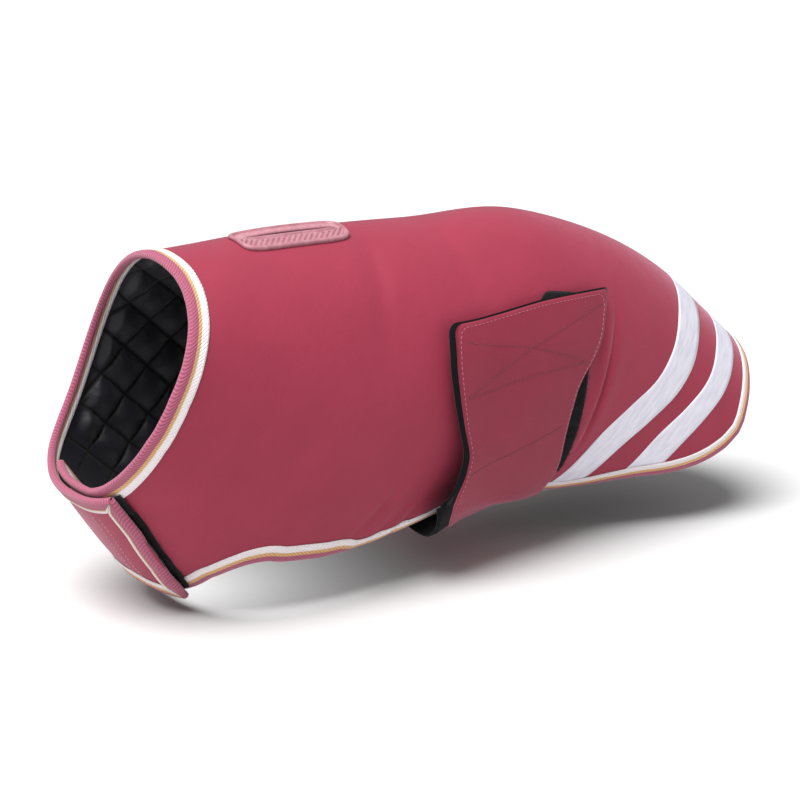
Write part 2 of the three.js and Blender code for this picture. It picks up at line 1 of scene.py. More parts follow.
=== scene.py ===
import math
import bpy
import numpy as np
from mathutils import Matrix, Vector


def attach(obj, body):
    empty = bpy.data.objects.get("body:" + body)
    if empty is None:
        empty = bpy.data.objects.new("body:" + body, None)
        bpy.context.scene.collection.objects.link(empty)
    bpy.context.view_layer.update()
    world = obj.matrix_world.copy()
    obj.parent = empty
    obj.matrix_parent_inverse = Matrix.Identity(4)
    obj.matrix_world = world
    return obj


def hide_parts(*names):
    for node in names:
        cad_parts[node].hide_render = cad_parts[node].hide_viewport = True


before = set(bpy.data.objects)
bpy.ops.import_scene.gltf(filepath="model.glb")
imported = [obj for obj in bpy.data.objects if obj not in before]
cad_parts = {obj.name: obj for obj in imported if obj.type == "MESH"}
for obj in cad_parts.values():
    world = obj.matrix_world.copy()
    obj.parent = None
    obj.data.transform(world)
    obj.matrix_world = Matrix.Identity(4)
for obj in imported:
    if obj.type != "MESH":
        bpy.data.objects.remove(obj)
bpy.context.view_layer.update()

# Driving sizes, in millimetres along the cloth; every mesh is made in metres
MM = 0.001
CLOTH = 1.0                  # thickness of the outer cloth
LINING_OUT, LINING_IN = -1.3, -3.65        # faces of the lining, off the cloth's outer face
PINCH = 1.25                 # how much thinner the lining is pressed under the binding
TAPE, TAPE_WIDTH = 0.75, 12.0              # thickness and folded width of the binding tape
INNER_LEG = 0.66             # the tape reaches less far on the inside
LEG_OUT, LEG_IN = 0.2, 0.1                 # gaps between the tape's legs and the cloth and lining
ROLL = 8.0                   # how far the coat's centre line has rolled to the left
UNDERLAP = 43.0              # left chest panel past the bottom centre
SUNK, RAISED = 2.6, 4.4      # how far the chest panels part where they overlap
CHEST_END, TAIL_END = 80.0, 536.0          # rows where the chest panels and the back end
TAIL_HOLLOW = 20.0           # how far the tail edge is cut in at its middle
SLOT_HALF, SLOT_FROM, SLOT_TO = 1.7, 66.0, 130.0     # lead slit: half its width, first and last row
SLOT_AT = 11.0               # its distance round the form
CURL_REACH = 15.0            # the hem curls inwards over this distance from its edge
PLEAT_FROM, PLEAT_TO = 350.0, 440.0        # rows where the cloth's grid is finer
QUILT = 25.0                 # side of a quilted square
QUILT_RISE = 6.0             # how far its middle is padded inwards
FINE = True
STEP = 3.5 if FINE else 5.0  # grid step of the cloth

# The form: s along the back, y and z there, lean of the section, depth, half width, widest place,
# roundness of the upper and lower half, rearward bow of the sides
FORM = np.array([
    (0, 0, -2, 22, 157, 82, 0.52, 1.95, 2.6, 20),
    (60, 59, 2.5, 19.5, 226, 85, 0.50, 2.0, 2.4, 11),
    (120, 119, 4.5, 19, 257, 87.5, 0.50, 2.0, 2.3, 4),
    (200, 199, 3.5, 21, 256, 88.5, 0.50, 2.0, 2.3, 0),
    (290, 288.5, 2, 27, 245, 85, 0.50, 2.1, 2.3, 0),
    (360, 355, -18, 34, 234, 80, 0.50, 2.2, 2.3, 0),
    (420, 408, -46, 41, 211, 76, 0.50, 2.2, 2.3, 0),
    (470, 447, -78, 45.5, 190, 75, 0.50, 2.2, 2.3, 0),
    (525, 489, -113, 47.5, 174, 77, 0.50, 2.2, 2.3, 0),
], float)
# The cut: place along the pattern, and the left hem's distance round the form
CUT = np.array([
    (0, 225), (16, 235), (32, 245), (48, 254), (64, 263), (80, 272), (85, 263), (92, 257), (104, 254),
    (120, 257), (137, 258.5), (155, 260.5), (168, 261.5), (181, 265.5), (191, 266.5), (209, 264.5),
    (227, 263), (245, 262.5), (263, 262), (281, 260), (299, 258), (317, 256), (335, 254), (353, 252),
    (371, 250), (389, 248), (407, 246), (424, 242.5), (441, 235.5), (458, 222), (474, 206),
    (488, 191.6), (500, 181.2), (510, 171.3), (518, 162), (525, 151.5), (530, 141), (534, 127), (536, 108),
], float)
# Reflective stripes: distance from the centre line, front edge, rear edge
STRIPE_FRONT = np.array([(0, 430, 456), (60, 431, 457), (95, 436, 462), (120, 435, 461), (145, 426, 455),
                         (175, 416, 448), (215, 417, 449)], float)
STRIPE_REAR = np.array([(0, 478, 500), (60, 479, 501), (92, 482, 502), (120, 478, 499), (150, 472, 496),
                        (185, 474, 498)], float)
# Belly strap: distance round the form and place along the body of its front and rear edge, and how
# far each stands off the form
STRAP = np.array([
    (106, 84, 175.5, 315.5, 0, 1), (122, 100, 174, 310.5, 0, 0), (138, 116, 172.5, 305, 0, 0),
    (155, 134, 173, 295, 0, 0), (172, 154, 175, 282, 1, 0), (188, 174, 177.5, 275, 2, 0),
    (203, 194, 179, 272, 4, 0), (217, 213, 175, 271, 6, 0), (231, 230, 169, 270, 8, 0),
    (244, 245, 170, 269, 8, -2), (256, 257, 174, 268, 6, -10), (268, 268, 179, 267, 1, -16),
    (281, 279, 183, 266, -5, -21), (296, 290, 185, 264, -12, -24), (314, 304, 187, 263, -18, -26),
    (336, 322, 188, 262, -24, -28), (360, 342, 187, 261, -28, -29), (380, 360, 188, 260, -30, -30),
    (398, 374, 188, 260, -30, -30), (415, 388, 188, 260, -27, -27), (432, 403, 188, 260, -22, -22),
    (450, 421, 188, 260, -18, -18), (468, 440, 188, 260, -18, -18), (482, 455, 188, 260, -18, -18),
], float)
# How far the strap's rows sag towards the hem between its edges
SAG = np.array([(0, 7), (3, 6), (7, 4), (10, 0)], float)
# How far the hem curls inwards along the body
CURL = np.array([(0, 0), (150, 0), (170, 1), (185, 5), (205, 5), (240, 4), (300, 2), (380, 0.8), (536, 0.8)],
                float)
# How far the left half of the neck line is cut forward, by the distance round the form
NECK = np.array([(36, 0), (50, 1.5), (62, 4), (76, 8), (85, 11.5), (97, 16), (110, 19.5), (124, 21),
                 (138, 20.5), (156, 18), (175, 13.5), (199, 8), (222, 3.5), (245, 0)], float)
# How far the hem under the right chest panel is cut forward, by the distance round the form
CHEST_HEM = np.array([(262, 0), (285, 14), (310, 22), (330, 20), (350, 10), (365, 0)], float)
# How far the right chest panel reaches past the bottom centre, along the body
FLAP = np.array([(0, 46), (25, 49), (50, 46.5), (68, 41), (80, 34)], float)
# How far the strap's backing shows beyond the front edge of its cloth, by its table row, and at its end
# the wide rows lower down are partly the strap's black underside curling away and partly painted shade: black
# backing laid over the shade beside the strap's front edge
PAST = np.array([(0, 2.5), (1, 3.4), (5, 3.8), (7, 7), (9, 15), (11, 22), (13, 17), (16, 7), (19, 0)], float)
END_PAST = 0.6
STRAP_WIDE, STRAP_PITCH = 138.0, 14.4      # width at the strap's free end, length of one table row
CORNER_FRONT, CORNER_REAR = 7.0, 3.5       # radii of its free end's corners
# Layers of the strap: inner and outer face of each, off the coat's cloth
HOOK_IN, HOOK_TOP = 2.5, 4.4
BACKING_IN, BACKING_OUT = 4.6, 6.2
STRAP_IN, STRAP_OUT = 6.5, 7.5
# Rubber patch: its middle along the body, half its length and width, half the slit's length and width
PATCH_S, PATCH_HALF, PATCH_WIDE, PATCH_SLOT, PATCH_GAP = 98.0, 41.0, 17.5, 33.0, 1.6
RIB_PITCH, RIB_RISE = 4.2, 0.6
# Fastening strips of the chest: their rows and widths, and how far the loop strip shows
LOOP_FROM, LOOP_TO, LOOP_WIDE, LOOP_SHOWS = 1.0, 76.0, 34, 4.5
HOOK_FROM, HOOK_TO, HOOK_WIDE = 17.5, 60.0, 26
# Fastening panel on the coat's side
PANEL_LONG, PANEL_WIDE = 136, 67
# Seams on the right chest panel, in from its free edge
CHEST_SEAMS = 23.5, 31.0


# Curves, smooth steps and paths
def curve(x, xs, ys):
    """Smooth curve through a short table, straight beyond its ends."""
    x = np.asarray(x, float)
    step = np.diff(xs)
    slope = np.diff(ys) / step
    lean = np.empty(len(xs))
    lean[1:-1] = (slope[1:] * step[:-1] + slope[:-1] * step[1:]) / (step[1:] + step[:-1])
    lean[0], lean[-1] = slope[0], slope[-1]
    i = np.clip(np.searchsorted(xs, x, side="right") - 1, 0, len(xs) - 2)
    t = (x - xs[i]) / step[i]
    inside = ((1 + 2 * t) * (1 - t) ** 2 * ys[i] + t * (1 - t) ** 2 * step[i] * lean[i]
              + t * t * (3 - 2 * t) * ys[i + 1] + t * t * (t - 1) * step[i] * lean[i + 1])
    return np.where(t < 0, ys[i] + (x - xs[i]) * lean[i],
                    np.where(t > 1, ys[i + 1] + (x - xs[i + 1]) * lean[i + 1], inside))


def along(table, x):
    """Value of a two-column table at x."""
    return np.interp(x, table[:, 0], table[:, 1])


def ease(t):
    t = np.clip(t, 0, 1)
    return t * t * (3 - 2 * t)


def bell(d, width):
    return np.exp(-(d / width) ** 2)


def run_along(points):
    """Distance along a path at each of its points."""
    return np.concatenate([[0], np.cumsum(np.linalg.norm(np.diff(points, axis=0), axis=1))])


def at_marks(marks, run, path):
    """Points of a path at marks along its run."""
    return np.stack([np.interp(marks, run, v) for v in path.T], -1)


# The form as a table: rows along the body, columns round half the section and past its bottom centre
ROW_STEP, HALF, PAD = 2.0, 260, 150
ROWS = np.arange(-40, 561, ROW_STEP)


def _form_table():
    table, girths = [], []
    a = np.linspace(0, math.pi, 1441)
    for s in ROWS:
        y, z, lean, deep, half, wide, top, low, bow = (float(curve(s, FORM[:, 0], column))
                                                       for column in FORM.T[1:])
        lean = math.radians(lean)
        e = np.where(a <= math.pi / 2, top, low)
        x = half * np.clip(np.sin(a), 0, 1) ** (2 / e)
        c = np.abs(np.cos(a)) ** (2 / e)
        down = deep * np.where(a <= math.pi / 2, wide * (1 - c), wide + (1 - wide) * c)
        p = np.stack([x, y - down * math.sin(lean) + bow * np.sin(a) ** 2, z - down * math.cos(lean)], 1)
        run = run_along(p)
        flat = np.concatenate([[0], np.cumsum(np.hypot(np.diff(p[:, 0]), np.diff(p[:, 2])))])
        marks = np.linspace(0, run[-1], HALF + 1)
        half_points = at_marks(marks, run, np.column_stack([p, flat]))
        mirrored = half_points * np.array([-1, 1, 1, -1])
        beyond = mirrored[::-1][1:PAD + 1].copy()      # past the bottom centre, up the other side
        beyond[:, 3] = 2 * half_points[-1, 3] + beyond[:, 3]
        right = beyond[::-1] * np.array([-1, 1, 1, -1])
        table.append(np.concatenate([right, mirrored[::-1][:-1], half_points, beyond]))
        girths.append(run[-1])
    return np.array(table), np.array(girths)


TABLE, GIRTHS = _form_table()


def girth(s):
    return np.interp(s, ROWS, GIRTHS)


def _cubic(t):
    return [((-t + 2) * t - 1) * t / 2, ((3 * t - 5) * t * t + 2) / 2, ((-3 * t + 4) * t + 1) * t / 2,
            (t - 1) * t * t / 2]


def sample(table, s, g):
    """Smooth values of a table at places s, g."""
    s, g = np.broadcast_arrays(np.asarray(s, float), np.asarray(g, float))
    r = (s - ROWS[0]) / ROW_STEP
    c = g / girth(s) * HALF + HALF + PAD
    i = np.clip(np.floor(r).astype(int), 1, len(ROWS) - 3)
    j = np.clip(np.floor(c).astype(int), 1, TABLE.shape[1] - 3)
    wr, wc = _cubic(r - i), _cubic(c - j)
    out = np.zeros(s.shape + table.shape[2:])
    for a in range(4):
        for b in range(4):
            out += (wr[a] * wc[b])[..., None] * table[i + a - 1, j + b - 1]
    return out


def form(s, g):
    """Points of the form, and a fourth column: distance round it as seen along the body."""
    return sample(TABLE, s, g)


def steps(s, g, table=None):
    """Steps along the body and round it, and the outward normal."""
    table = TABLE if table is None else table
    ds = (sample(table, s + 2, g) - sample(table, s - 2, g))[..., :3] / 4
    dg = (sample(table, s, g + 3) - sample(table, s, g - 3))[..., :3] / 6
    normal = np.cross(dg, ds)
    return ds, dg, normal / np.linalg.norm(normal, axis=-1, keepdims=True)


def lift(s, g):
    """Left chest panel sinks and right one rises where they lie over one another."""
    fade, around = 1 - ease((s - 84) / 34), girth(s)
    return np.where(g > 0, -SUNK * fade * ease((g - around + 100) / 60),
                    RAISED * fade * ease((-g - around + 116) / 60))


def from_pleat(s, g):
    """Distance from the pleat's crease, along the body."""
    return s - (327 + 0.37 * g)


def along_pleat(g):
    return bell(g - 150, 42) * (1 - ease((g - 190) / 20))


def pleat(s, g):
    """Pleat from behind the strap's corner down to the hem: a sharp crease between two soft ridges."""
    x = from_pleat(s, g)
    return (1.6 * bell(x + 7, 6) - 3.4 * bell(x, 2.8) + 0.8 * bell(x - 8, 7)) * along_pleat(g)


def folds(s, g):
    """Soft dents and creases of the filled-out cloth, shared by every layer of the coat."""
    d = (0.5 * np.sin(s / 37 + 1.3) * np.sin(g / 41 + 0.4)
         + 0.35 * np.sin(s / 19 + g / 53) * np.sin(g / 29 - s / 61))
    d = d * ease((girth(s) - np.abs(g) - 30) / 60) * ease(s / 40)
    # dent that runs down from the lead patch
    d = d - 1.8 * bell(s - 141 - 0.10 * g, 8) * bell(g - 62, 34)
    # shallow fold from the withers to the flank
    d = d - 1.2 * bell(s - 196 - 0.35 * g, 11) * bell(g - 62, 40)
    d = d + pleat(s, g)
    # small puckers that run up from the hem in front of the strap
    for at, reach, depth in ((186, 232, 1.5), (208, 240, 1.3), (226, 244, 1.5)):
        d = d - depth * bell(s - at - 0.7 * (reach - g), 4.5) * bell(g - reach, 16)
    # the chest's lower right side is drawn in by the closure
    beyond = np.where(g < 0, girth(s) + g, g - girth(s))
    return d - 7.0 * bell(s - 62, 42) * bell(beyond - 55, 42)


# The frame's origin: inside face of the lining over the withers
WITHERS = 120.0
ORIGIN = form(WITHERS, ROLL)[:3] + steps(WITHERS, ROLL)[2] * LINING_IN


def metres(p):
    return (p - ORIGIN) * MM


# Meshes
COLLECTION = bpy.context.scene.collection


def mesh_piece(name, points, faces, uv, look):
    """A mesh from points, faces, and a pattern place for each point, all in millimetres.

    A piece called soft_x takes the place of the solid x."""
    mesh = bpy.data.meshes.new(name)
    mesh.from_pydata(metres(np.asarray(points)).tolist(), [], [tuple(int(i) for i in f) for f in faces])
    mesh.validate()
    layer = mesh.uv_layers.new(name="pattern")
    corner = np.empty(len(mesh.loops), dtype=np.int32)
    mesh.loops.foreach_get("vertex_index", corner)
    layer.data.foreach_set("uv", (np.asarray(uv, float)[corner] * MM).ravel())
    mesh.polygons.foreach_set("use_smooth", [True] * len(mesh.polygons))
    mesh.materials.append(look)
    mesh.update()
    piece = bpy.data.objects.new(name, mesh)
    COLLECTION.objects.link(piece)
    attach(piece, "root")
    if name.startswith("soft_"):
        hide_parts(name[len("soft_"):])
    return piece


def wall(name, outer, inner, uv, look, keep=None):
    """A closed cloth wall from two grids of points; cells that keep leaves out are open."""
    rows, cols = outer.shape[:2]
    if keep is None:
        keep = np.ones((rows - 1, cols - 1), bool)
    ids = np.arange(rows * cols).reshape(rows, cols)
    a, b, c, d = ids[:-1, :-1], ids[:-1, 1:], ids[1:, 1:], ids[1:, :-1]
    quads = np.stack([a, b, c, d], -1)[keep]
    n = rows * cols
    faces = [quads, quads[:, ::-1] + n]
    shut = np.pad(keep, 1)
    for p, q, beside in ((a, b, shut[:-2, 1:-1]), (b, c, shut[1:-1, 2:]), (c, d, shut[2:, 1:-1]),
                         (d, a, shut[1:-1, :-2])):
        edge = keep & ~beside
        faces.append(np.stack([q[edge], p[edge], p[edge] + n, q[edge] + n], -1))
    faces = np.concatenate(faces)
    used = np.unique(faces)
    index = np.full(2 * n, -1)
    index[used] = np.arange(len(used))
    points = np.concatenate([outer.reshape(-1, 3), inner.reshape(-1, 3)])[used]
    places = np.concatenate([uv.reshape(-1, 2)] * 2)[used]
    return mesh_piece(name, points, index[faces], places, look)


def tube(name, sections, uv, look, closed=False):
    """A closed outline (columns) carried through sections (rows), capped at its ends unless closed."""
    rows, cols = sections.shape[:2]
    ids = np.arange(rows * cols).reshape(rows, cols)
    last = rows if closed else rows - 1
    i = np.arange(last)[:, None]
    j = np.arange(cols)[None, :]
    i2, j2 = (i + 1) % rows, (j + 1) % cols
    quads = np.stack(np.broadcast_arrays(ids[i, j], ids[i, j2], ids[i2, j2], ids[i2, j]), -1).reshape(-1, 4)
    faces = [list(q) for q in quads]
    if not closed:
        half = cols // 2
        for row, turn in ((0, 1), (rows - 1, -1)):
            for k in range(half - 1):
                face = [ids[row, k], ids[row, cols - 1 - k], ids[row, cols - 2 - k], ids[row, k + 1]]
                faces.append(face[::turn])
    return mesh_piece(name, sections.reshape(-1, 3), faces, uv.reshape(-1, 2), look)


# The coat's pattern
REAR_CUT = CUT[CUT[:, 0] >= CHEST_END]


def hem_at(row):
    row = np.asarray(row, float)
    return np.where(row < CHEST_END, along(CUT, row),
                    curve(row, REAR_CUT[:, 0], REAR_CUT[:, 1]))


def free_edge(s):
    """Distance round the form of the right chest panel's free edge."""
    return -(girth(s) + along(FLAP, s))


def hollowed(row, g):
    """Place along the body of a pattern row: the neck line reaches forward, the tail edge is hollowed."""
    out = np.abs(g - ROLL)
    neck = along(NECK, g) * (1 - ease(row / 78))
    row = row - neck - along(CHEST_HEM, -g) * ease((row - 20) / 60) * (row <= CHEST_END)
    return row - TAIL_HOLLOW * ease((row - 465) / (TAIL_END - 465)) * np.maximum(0, 1 - (out / 108) ** 2)


def spaced(marks, step):
    parts = [np.linspace(a, b, max(2, int(round((b - a) / step)) + 1))[:-1] for a, b in zip(marks, marks[1:])]
    return np.concatenate(parts + [[marks[-1]]])


def cut_grid(step, fore=None, aft=None, pleat=None):
    """Places s, g of the coat's pattern, and which of its cells are cloth; the rest are row steps."""
    row = np.concatenate([spaced((0, SLOT_FROM, CHEST_END, SLOT_TO), fore or step)[:-1],
                          spaced((SLOT_TO, PLEAT_FROM), aft or step)[:-1],
                          spaced((PLEAT_FROM, PLEAT_TO), pleat or aft or step)[:-1],
                          spaced((PLEAT_TO, TAIL_END), aft or step)])[:, None]
    hem, around = hem_at(row), girth(row)
    n, m = int(round(255 / step)), int(round(86 / step))
    f, h = np.linspace(0, 1, n + 1)[None, :], np.linspace(0, 1, m + 1)[None, 1:]
    side = []
    for sign, beyond in ((-1, along(FLAP, row)), (1, UNDERLAP)):
        reach = hem if sign > 0 else hem - 2 * ROLL
        lip = SLOT_AT + sign * SLOT_HALF
        near = lip + (sign * reach - lip) * f
        far = sign * (reach + (around + beyond - reach) * h)
        side.append(np.concatenate([near, far], 1))
    g = np.concatenate([side[0][:, ::-1], side[1]], 1)
    s = hollowed(np.broadcast_to(row, g.shape), g)
    keep = np.ones((g.shape[0] - 1, g.shape[1] - 1), bool)
    middle = (row[:-1, 0] + row[1:, 0]) / 2
    keep[middle > CHEST_END, :m] = False
    keep[middle > CHEST_END, -m:] = False
    keep[(middle > SLOT_FROM) & (middle < SLOT_TO), n + m] = False
    return s, g, keep


def outline_runs(step=2.5):
    """The coat's edge as runs of places s, g: neck, right front, hem, left front."""
    right, left = free_edge(0), girth(0) + UNDERLAP
    g = np.arange(left, right, -step)
    g = np.append(g, right)
    neck = np.stack([hollowed(np.zeros_like(g), g), g], 1)
    s = spaced((0, CHEST_END), step)
    right_front = np.stack([s, free_edge(s)], 1)
    left_front = np.stack([s, girth(s) + UNDERLAP], 1)[::-1]
    rows = spaced((CHEST_END, 480, 520, TAIL_END), 1.0)[:-1]
    hem = hem_at(rows)
    start, end = free_edge(CHEST_END), girth(CHEST_END) + UNDERLAP
    under_right = spaced((start, -(hem[0] - 2 * ROLL)), step)[:-1]
    under_left = spaced((hem[0], end), step)[1:]
    tail = spaced((-(hem_at(TAIL_END) - 2 * ROLL), hem_at(TAIL_END)), step)
    run_g = np.concatenate([under_right, -(hem - 2 * ROLL), tail, hem[::-1], under_left])
    run_s = np.concatenate([np.full(len(under_right), CHEST_END), rows, np.full(len(tail), TAIL_END),
                            rows[::-1], np.full(len(under_left), CHEST_END)])
    hem_run = np.stack([hollowed(run_s, run_g), run_g], 1)
    return {"neck": neck, "right_front": right_front, "hem": even(hem_run, step), "left_front": left_front}


def even(path, step):
    """A path of places s, g with even steps as measured on the form."""
    p = form(path[:, 0], path[:, 1])[:, :3]
    run = run_along(p)
    marks = np.linspace(0, run[-1], max(2, int(round(run[-1] / step)) + 1))
    return at_marks(marks, run, path)


RUNS = outline_runs()
EDGE = np.concatenate([run[::4] for run in RUNS.values()])


def to_edge(s, g):
    """Distance in the pattern from places to the coat's edge."""
    a, b = EDGE, np.roll(EDGE, -1, axis=0)
    d = b - a
    length = np.maximum((d ** 2).sum(1), 1e-9)
    flat_s, flat_g = np.ravel(s), np.ravel(g)
    best = np.full(flat_s.shape, 1e9)
    for k in range(0, len(flat_s), 4000):
        ps, pg = flat_s[k:k + 4000, None] - a[:, 0], flat_g[k:k + 4000, None] - a[:, 1]
        t = np.clip((ps * d[:, 0] + pg * d[:, 1]) / length, 0, 1)
        best[k:k + 4000] = np.hypot(ps - t * d[:, 0], pg - t * d[:, 1]).min(1)
    return best.reshape(np.shape(s))


def _surface_tables():
    """Tables of the cloth's outer face (whole, without the curled hem, without the pleat) and of the distance
    to the edge."""
    g = (np.arange(TABLE.shape[1]) - HALF - PAD)[None, :] / HALF * GIRTHS[:, None]
    s = np.broadcast_to(ROWS[:, None], g.shape)
    points = TABLE[..., :3]
    normal = np.cross(np.gradient(points, axis=1), np.gradient(points, axis=0))
    normal /= np.linalg.norm(normal, axis=-1, keepdims=True)
    edge = to_edge(s, g)
    raised = (lift(s, g) + folds(s, g))[..., None]
    curl = along(CURL, s) * np.clip(1 - edge / CURL_REACH, 0, 1) ** 2
    curl = curl[..., None]
    heights = raised - curl, raised, raised - curl - pleat(s, g)[..., None]
    return *(points + normal * height for height in heights), edge[..., None]


COAT, PLAIN, UNPLEATED, EDGE_TABLE = _surface_tables()


def skin(s, g, off=0.0, table=None):
    """Points of the coat, off millimetres outside the outer cloth's face."""
    table = COAT if table is None else table
    normal = steps(s, g, table)[2]
    return sample(table, s, g) + normal * np.asarray(off)[..., None]


def to_rim(s, g):
    return sample(EDGE_TABLE, s, g)[..., 0]


def pressed(s, g):
    """1 under the binding, where the layers are pressed together, and 0 away from it."""
    return 1 - ease((to_rim(s, g) - TAPE_WIDTH) / 9)


def area_of(points, keep=None):
    """Area of a grid of points, in square metres."""
    a, b, c, d = points[:-1, :-1], points[:-1, 1:], points[1:, 1:], points[1:, :-1]
    cell = np.linalg.norm(np.cross(c - a, d - b), axis=-1) / 2
    return float((cell if keep is None else cell[keep]).sum()) * 1e-6


# Sub-parts of the coat
def shell_cloth(look):
    s, g, keep = cut_grid(STEP, pleat=1.6 if FINE else None)
    outer = skin(s, g)
    inner = skin(s, g, -CLOTH)
    piece = wall("soft_shell_cloth", outer, inner, np.stack([g, s], -1), look, keep)
    return piece, area_of(outer, keep)


def quilted_lining(look):
    s, g, keep = cut_grid(2.4, 1.6, 4.5) if FINE else cut_grid(5.0)
    place = form(s, g)
    across, down = place[..., 1], place[..., 3]
    a, b = (across + down) / math.sqrt(2), (across - down) / math.sqrt(2)
    puff = np.abs(np.sin(math.pi * a / QUILT) * np.sin(math.pi * b / QUILT)) ** 0.62
    slot = np.hypot(np.maximum(np.abs(s - PATCH_S) - PATCH_SLOT + 1, 0), g - SLOT_AT)
    room = ease((to_rim(s, g) - TAPE_WIDTH - 1) / 8) * ease((slot - 3) / 7)
    flat = ease((lift(s, g) - 0.4) / 1.4) * (g < 0)
    rise = QUILT_RISE * puff * room * (1 - flat)
    clear = 4.0 * bell(from_pleat(s, g), 7) * along_pleat(g)
    puckered = 0.45 * bell(s - 208, 40) * ease((g - 180) / 20)
    outer = skin(s, g, LINING_OUT - clear - puckered, UNPLEATED)
    inner = skin(s, g, LINING_IN + PINCH * pressed(s, g) - rise - clear, UNPLEATED)
    piece = wall("soft_quilted_lining", outer, inner, np.stack([across, down], -1), look,
                 keep)
    return piece, area_of(outer, keep)


def tape_section():
    """Outline of the folded tape: distance in from the edge, distance off the cloth, place in its bands."""
    legs = np.array([1.0, 0.9, 0.78, 0.66, 0.6, 0.54, 0.44, 0.32, 0.22, 0.12, 0.04]) * TAPE_WIDTH
    puff = np.array([-0.25, 0.0, 0.05, 0.0, -0.12, 0.0, 0.3, 0.5, 0.6, 0.55, 0.3])
    back = LINING_IN + PINCH - LEG_IN
    top, low = LEG_OUT + TAPE, back - TAPE
    outer = [(w, top + r, w) for w, r in zip(legs, puff)]
    turn = [(0.5 - 2.0 * math.sin(a) ** 0.8, (top + low) / 2 + (top - low) / 2 * math.cos(a), 0)
            for a in np.linspace(0, math.pi, 11)[1:-1]]
    inner = [(w * INNER_LEG, low - r, w) for w, r in zip(legs[::-1], puff[::-1])]
    hidden = [(w * INNER_LEG, back, w) for w in legs]
    bend = [(-0.1 - 0.35 * math.sin(a), (LEG_OUT + back) / 2 - (LEG_OUT - back) / 2 * math.cos(a), 0)
            for a in np.linspace(0, math.pi, 11)[1:-1]]
    return np.array(outer + turn + inner + hidden + bend + [(w, LEG_OUT, w) for w in legs[::-1]])


def inward_steps(s, g):
    """Points of a path on the coat, its direction, and the steps in s, g inwards."""
    points = skin(s, g)
    ahead = np.gradient(points, axis=0)
    ahead /= np.linalg.norm(ahead, axis=1, keepdims=True)
    ds, dg, normal = steps(s, g)
    out = np.cross(normal, ahead)
    out /= np.linalg.norm(out, axis=1, keepdims=True)
    a, b, c = (ds * ds).sum(1), (ds * dg).sum(1), (dg * dg).sum(1)
    det = a * c - b * b
    u, v = -(out * ds).sum(1), -(out * dg).sum(1)
    return points, ahead, (u * c - v * b) / det, (v * a - u * b) / det


def tape_fit(name, s, g):
    """How narrow the tape is folded along a run, and how much of it is mauve: at the closure and the tail."""
    closure = np.ones(len(s)) if name == "right_front" else ease((-g - girth(s) + 70) / 40) * (name == "neck")
    tail = 0.26 * ease((s - 430) / 60) * (name == "hem")
    return 1 - 0.24 * closure - tail, closure


def bindings(look):
    outline = tape_section()
    pieces = []
    for name, run in RUNS.items():
        path = even(run, 2.2 if FINE else 5)
        s, g = path[:, 0], path[:, 1]
        points, ahead, step_s, step_g = inward_steps(s, g)
        run_at = run_along(points)
        room = np.minimum(run_at, run_at[-1] - run_at)
        narrow, closure = tape_fit(name, s, g)
        width = np.minimum(TAPE_WIDTH * narrow, np.maximum(room - 0.2, 0.7))[:, None]
        deep, off = outline[:, 0], outline[:, 1]
        inward = np.where(deep > 0.5, 0.5 + (deep - 0.5) * (width - 0.5) / (TAPE_WIDTH - 0.5), deep)
        wave = (0.14 * np.sin(run_at / 7.1)[:, None] * np.sin(run_at / 17.3 + 1)[:, None]
                * (off > LEG_OUT + 0.3))
        on = inward.clip(0)
        normal = steps(s, g, COAT)[2]
        beyond = np.cross(normal, ahead)
        points = skin(s[:, None] + step_s[:, None] * on, g[:, None] + step_g[:, None] * on, off + wave)
        points = points + beyond[:, None, :] * (-inward).clip(0)[..., None]
        points[0] += ahead[0] * 0.12
        points[-1] -= ahead[-1] * 0.12
        share = outline[:, 2] / TAPE_WIDTH
        mauve = np.interp(share, [0, 0.70, 0.78, 1], [0, 0.35, 0.59, 1])
        band = (share + (mauve - share) * closure[:, None]) * TAPE_WIDTH
        uv = np.stack([np.broadcast_to(run_at[:, None], inward.shape), band], -1)
        pieces.append(tube("soft_" + name + "_binding", points, uv, look))
    return pieces


def stripes(look):
    pieces = []
    for name, table in (("soft_reflective_stripe_front", STRIPE_FRONT),
                        ("soft_reflective_stripe_rear", STRIPE_REAR)):
        t = np.linspace(0, 1, 9)[:, None]

        def row_at(out):
            fore, aft = (curve(out, table[:, 0], column) for column in table.T[1:])
            return fore + (aft - fore) * t

        reach = []
        for side in (-1, 1):
            out = np.arange(60, 250, 0.5)[None, :]
            s = row_at(out)
            inside = (hem_at(s) - ROLL > out) & (to_rim(s, ROLL + side * out) > 10.0)
            reach.append(np.where(inside, out, 0).max(axis=1)[:, None])
        half = np.linspace(0, 1, int(190 / (STEP * 0.7)))[None, :]
        out = np.concatenate([reach[0] * half[:, :0:-1], reach[1] * half], 1)
        side = np.concatenate([-np.ones(half.shape[1] - 1), np.ones(half.shape[1])])[None, :]
        s, g = row_at(out), ROLL + side * out
        wrinkle = (0.16 * np.sin(g / 5.3 + 1.4 * np.sin(g / 17)) * np.sin(math.pi * t)
                   + 0.08 * np.sin(g / 2.9 + 5 * t))
        free = ease((to_rim(s, g) - TAPE_WIDTH) / 4)
        top = 0.12 + free * (0.14 + wrinkle * ease(1 - 2 * np.abs(t - 0.5)))
        pieces.append(wall(name, skin(s, g, top), skin(s, g, np.full(s.shape, 0.04)),
                           np.stack([g, s], -1), look))
    return pieces


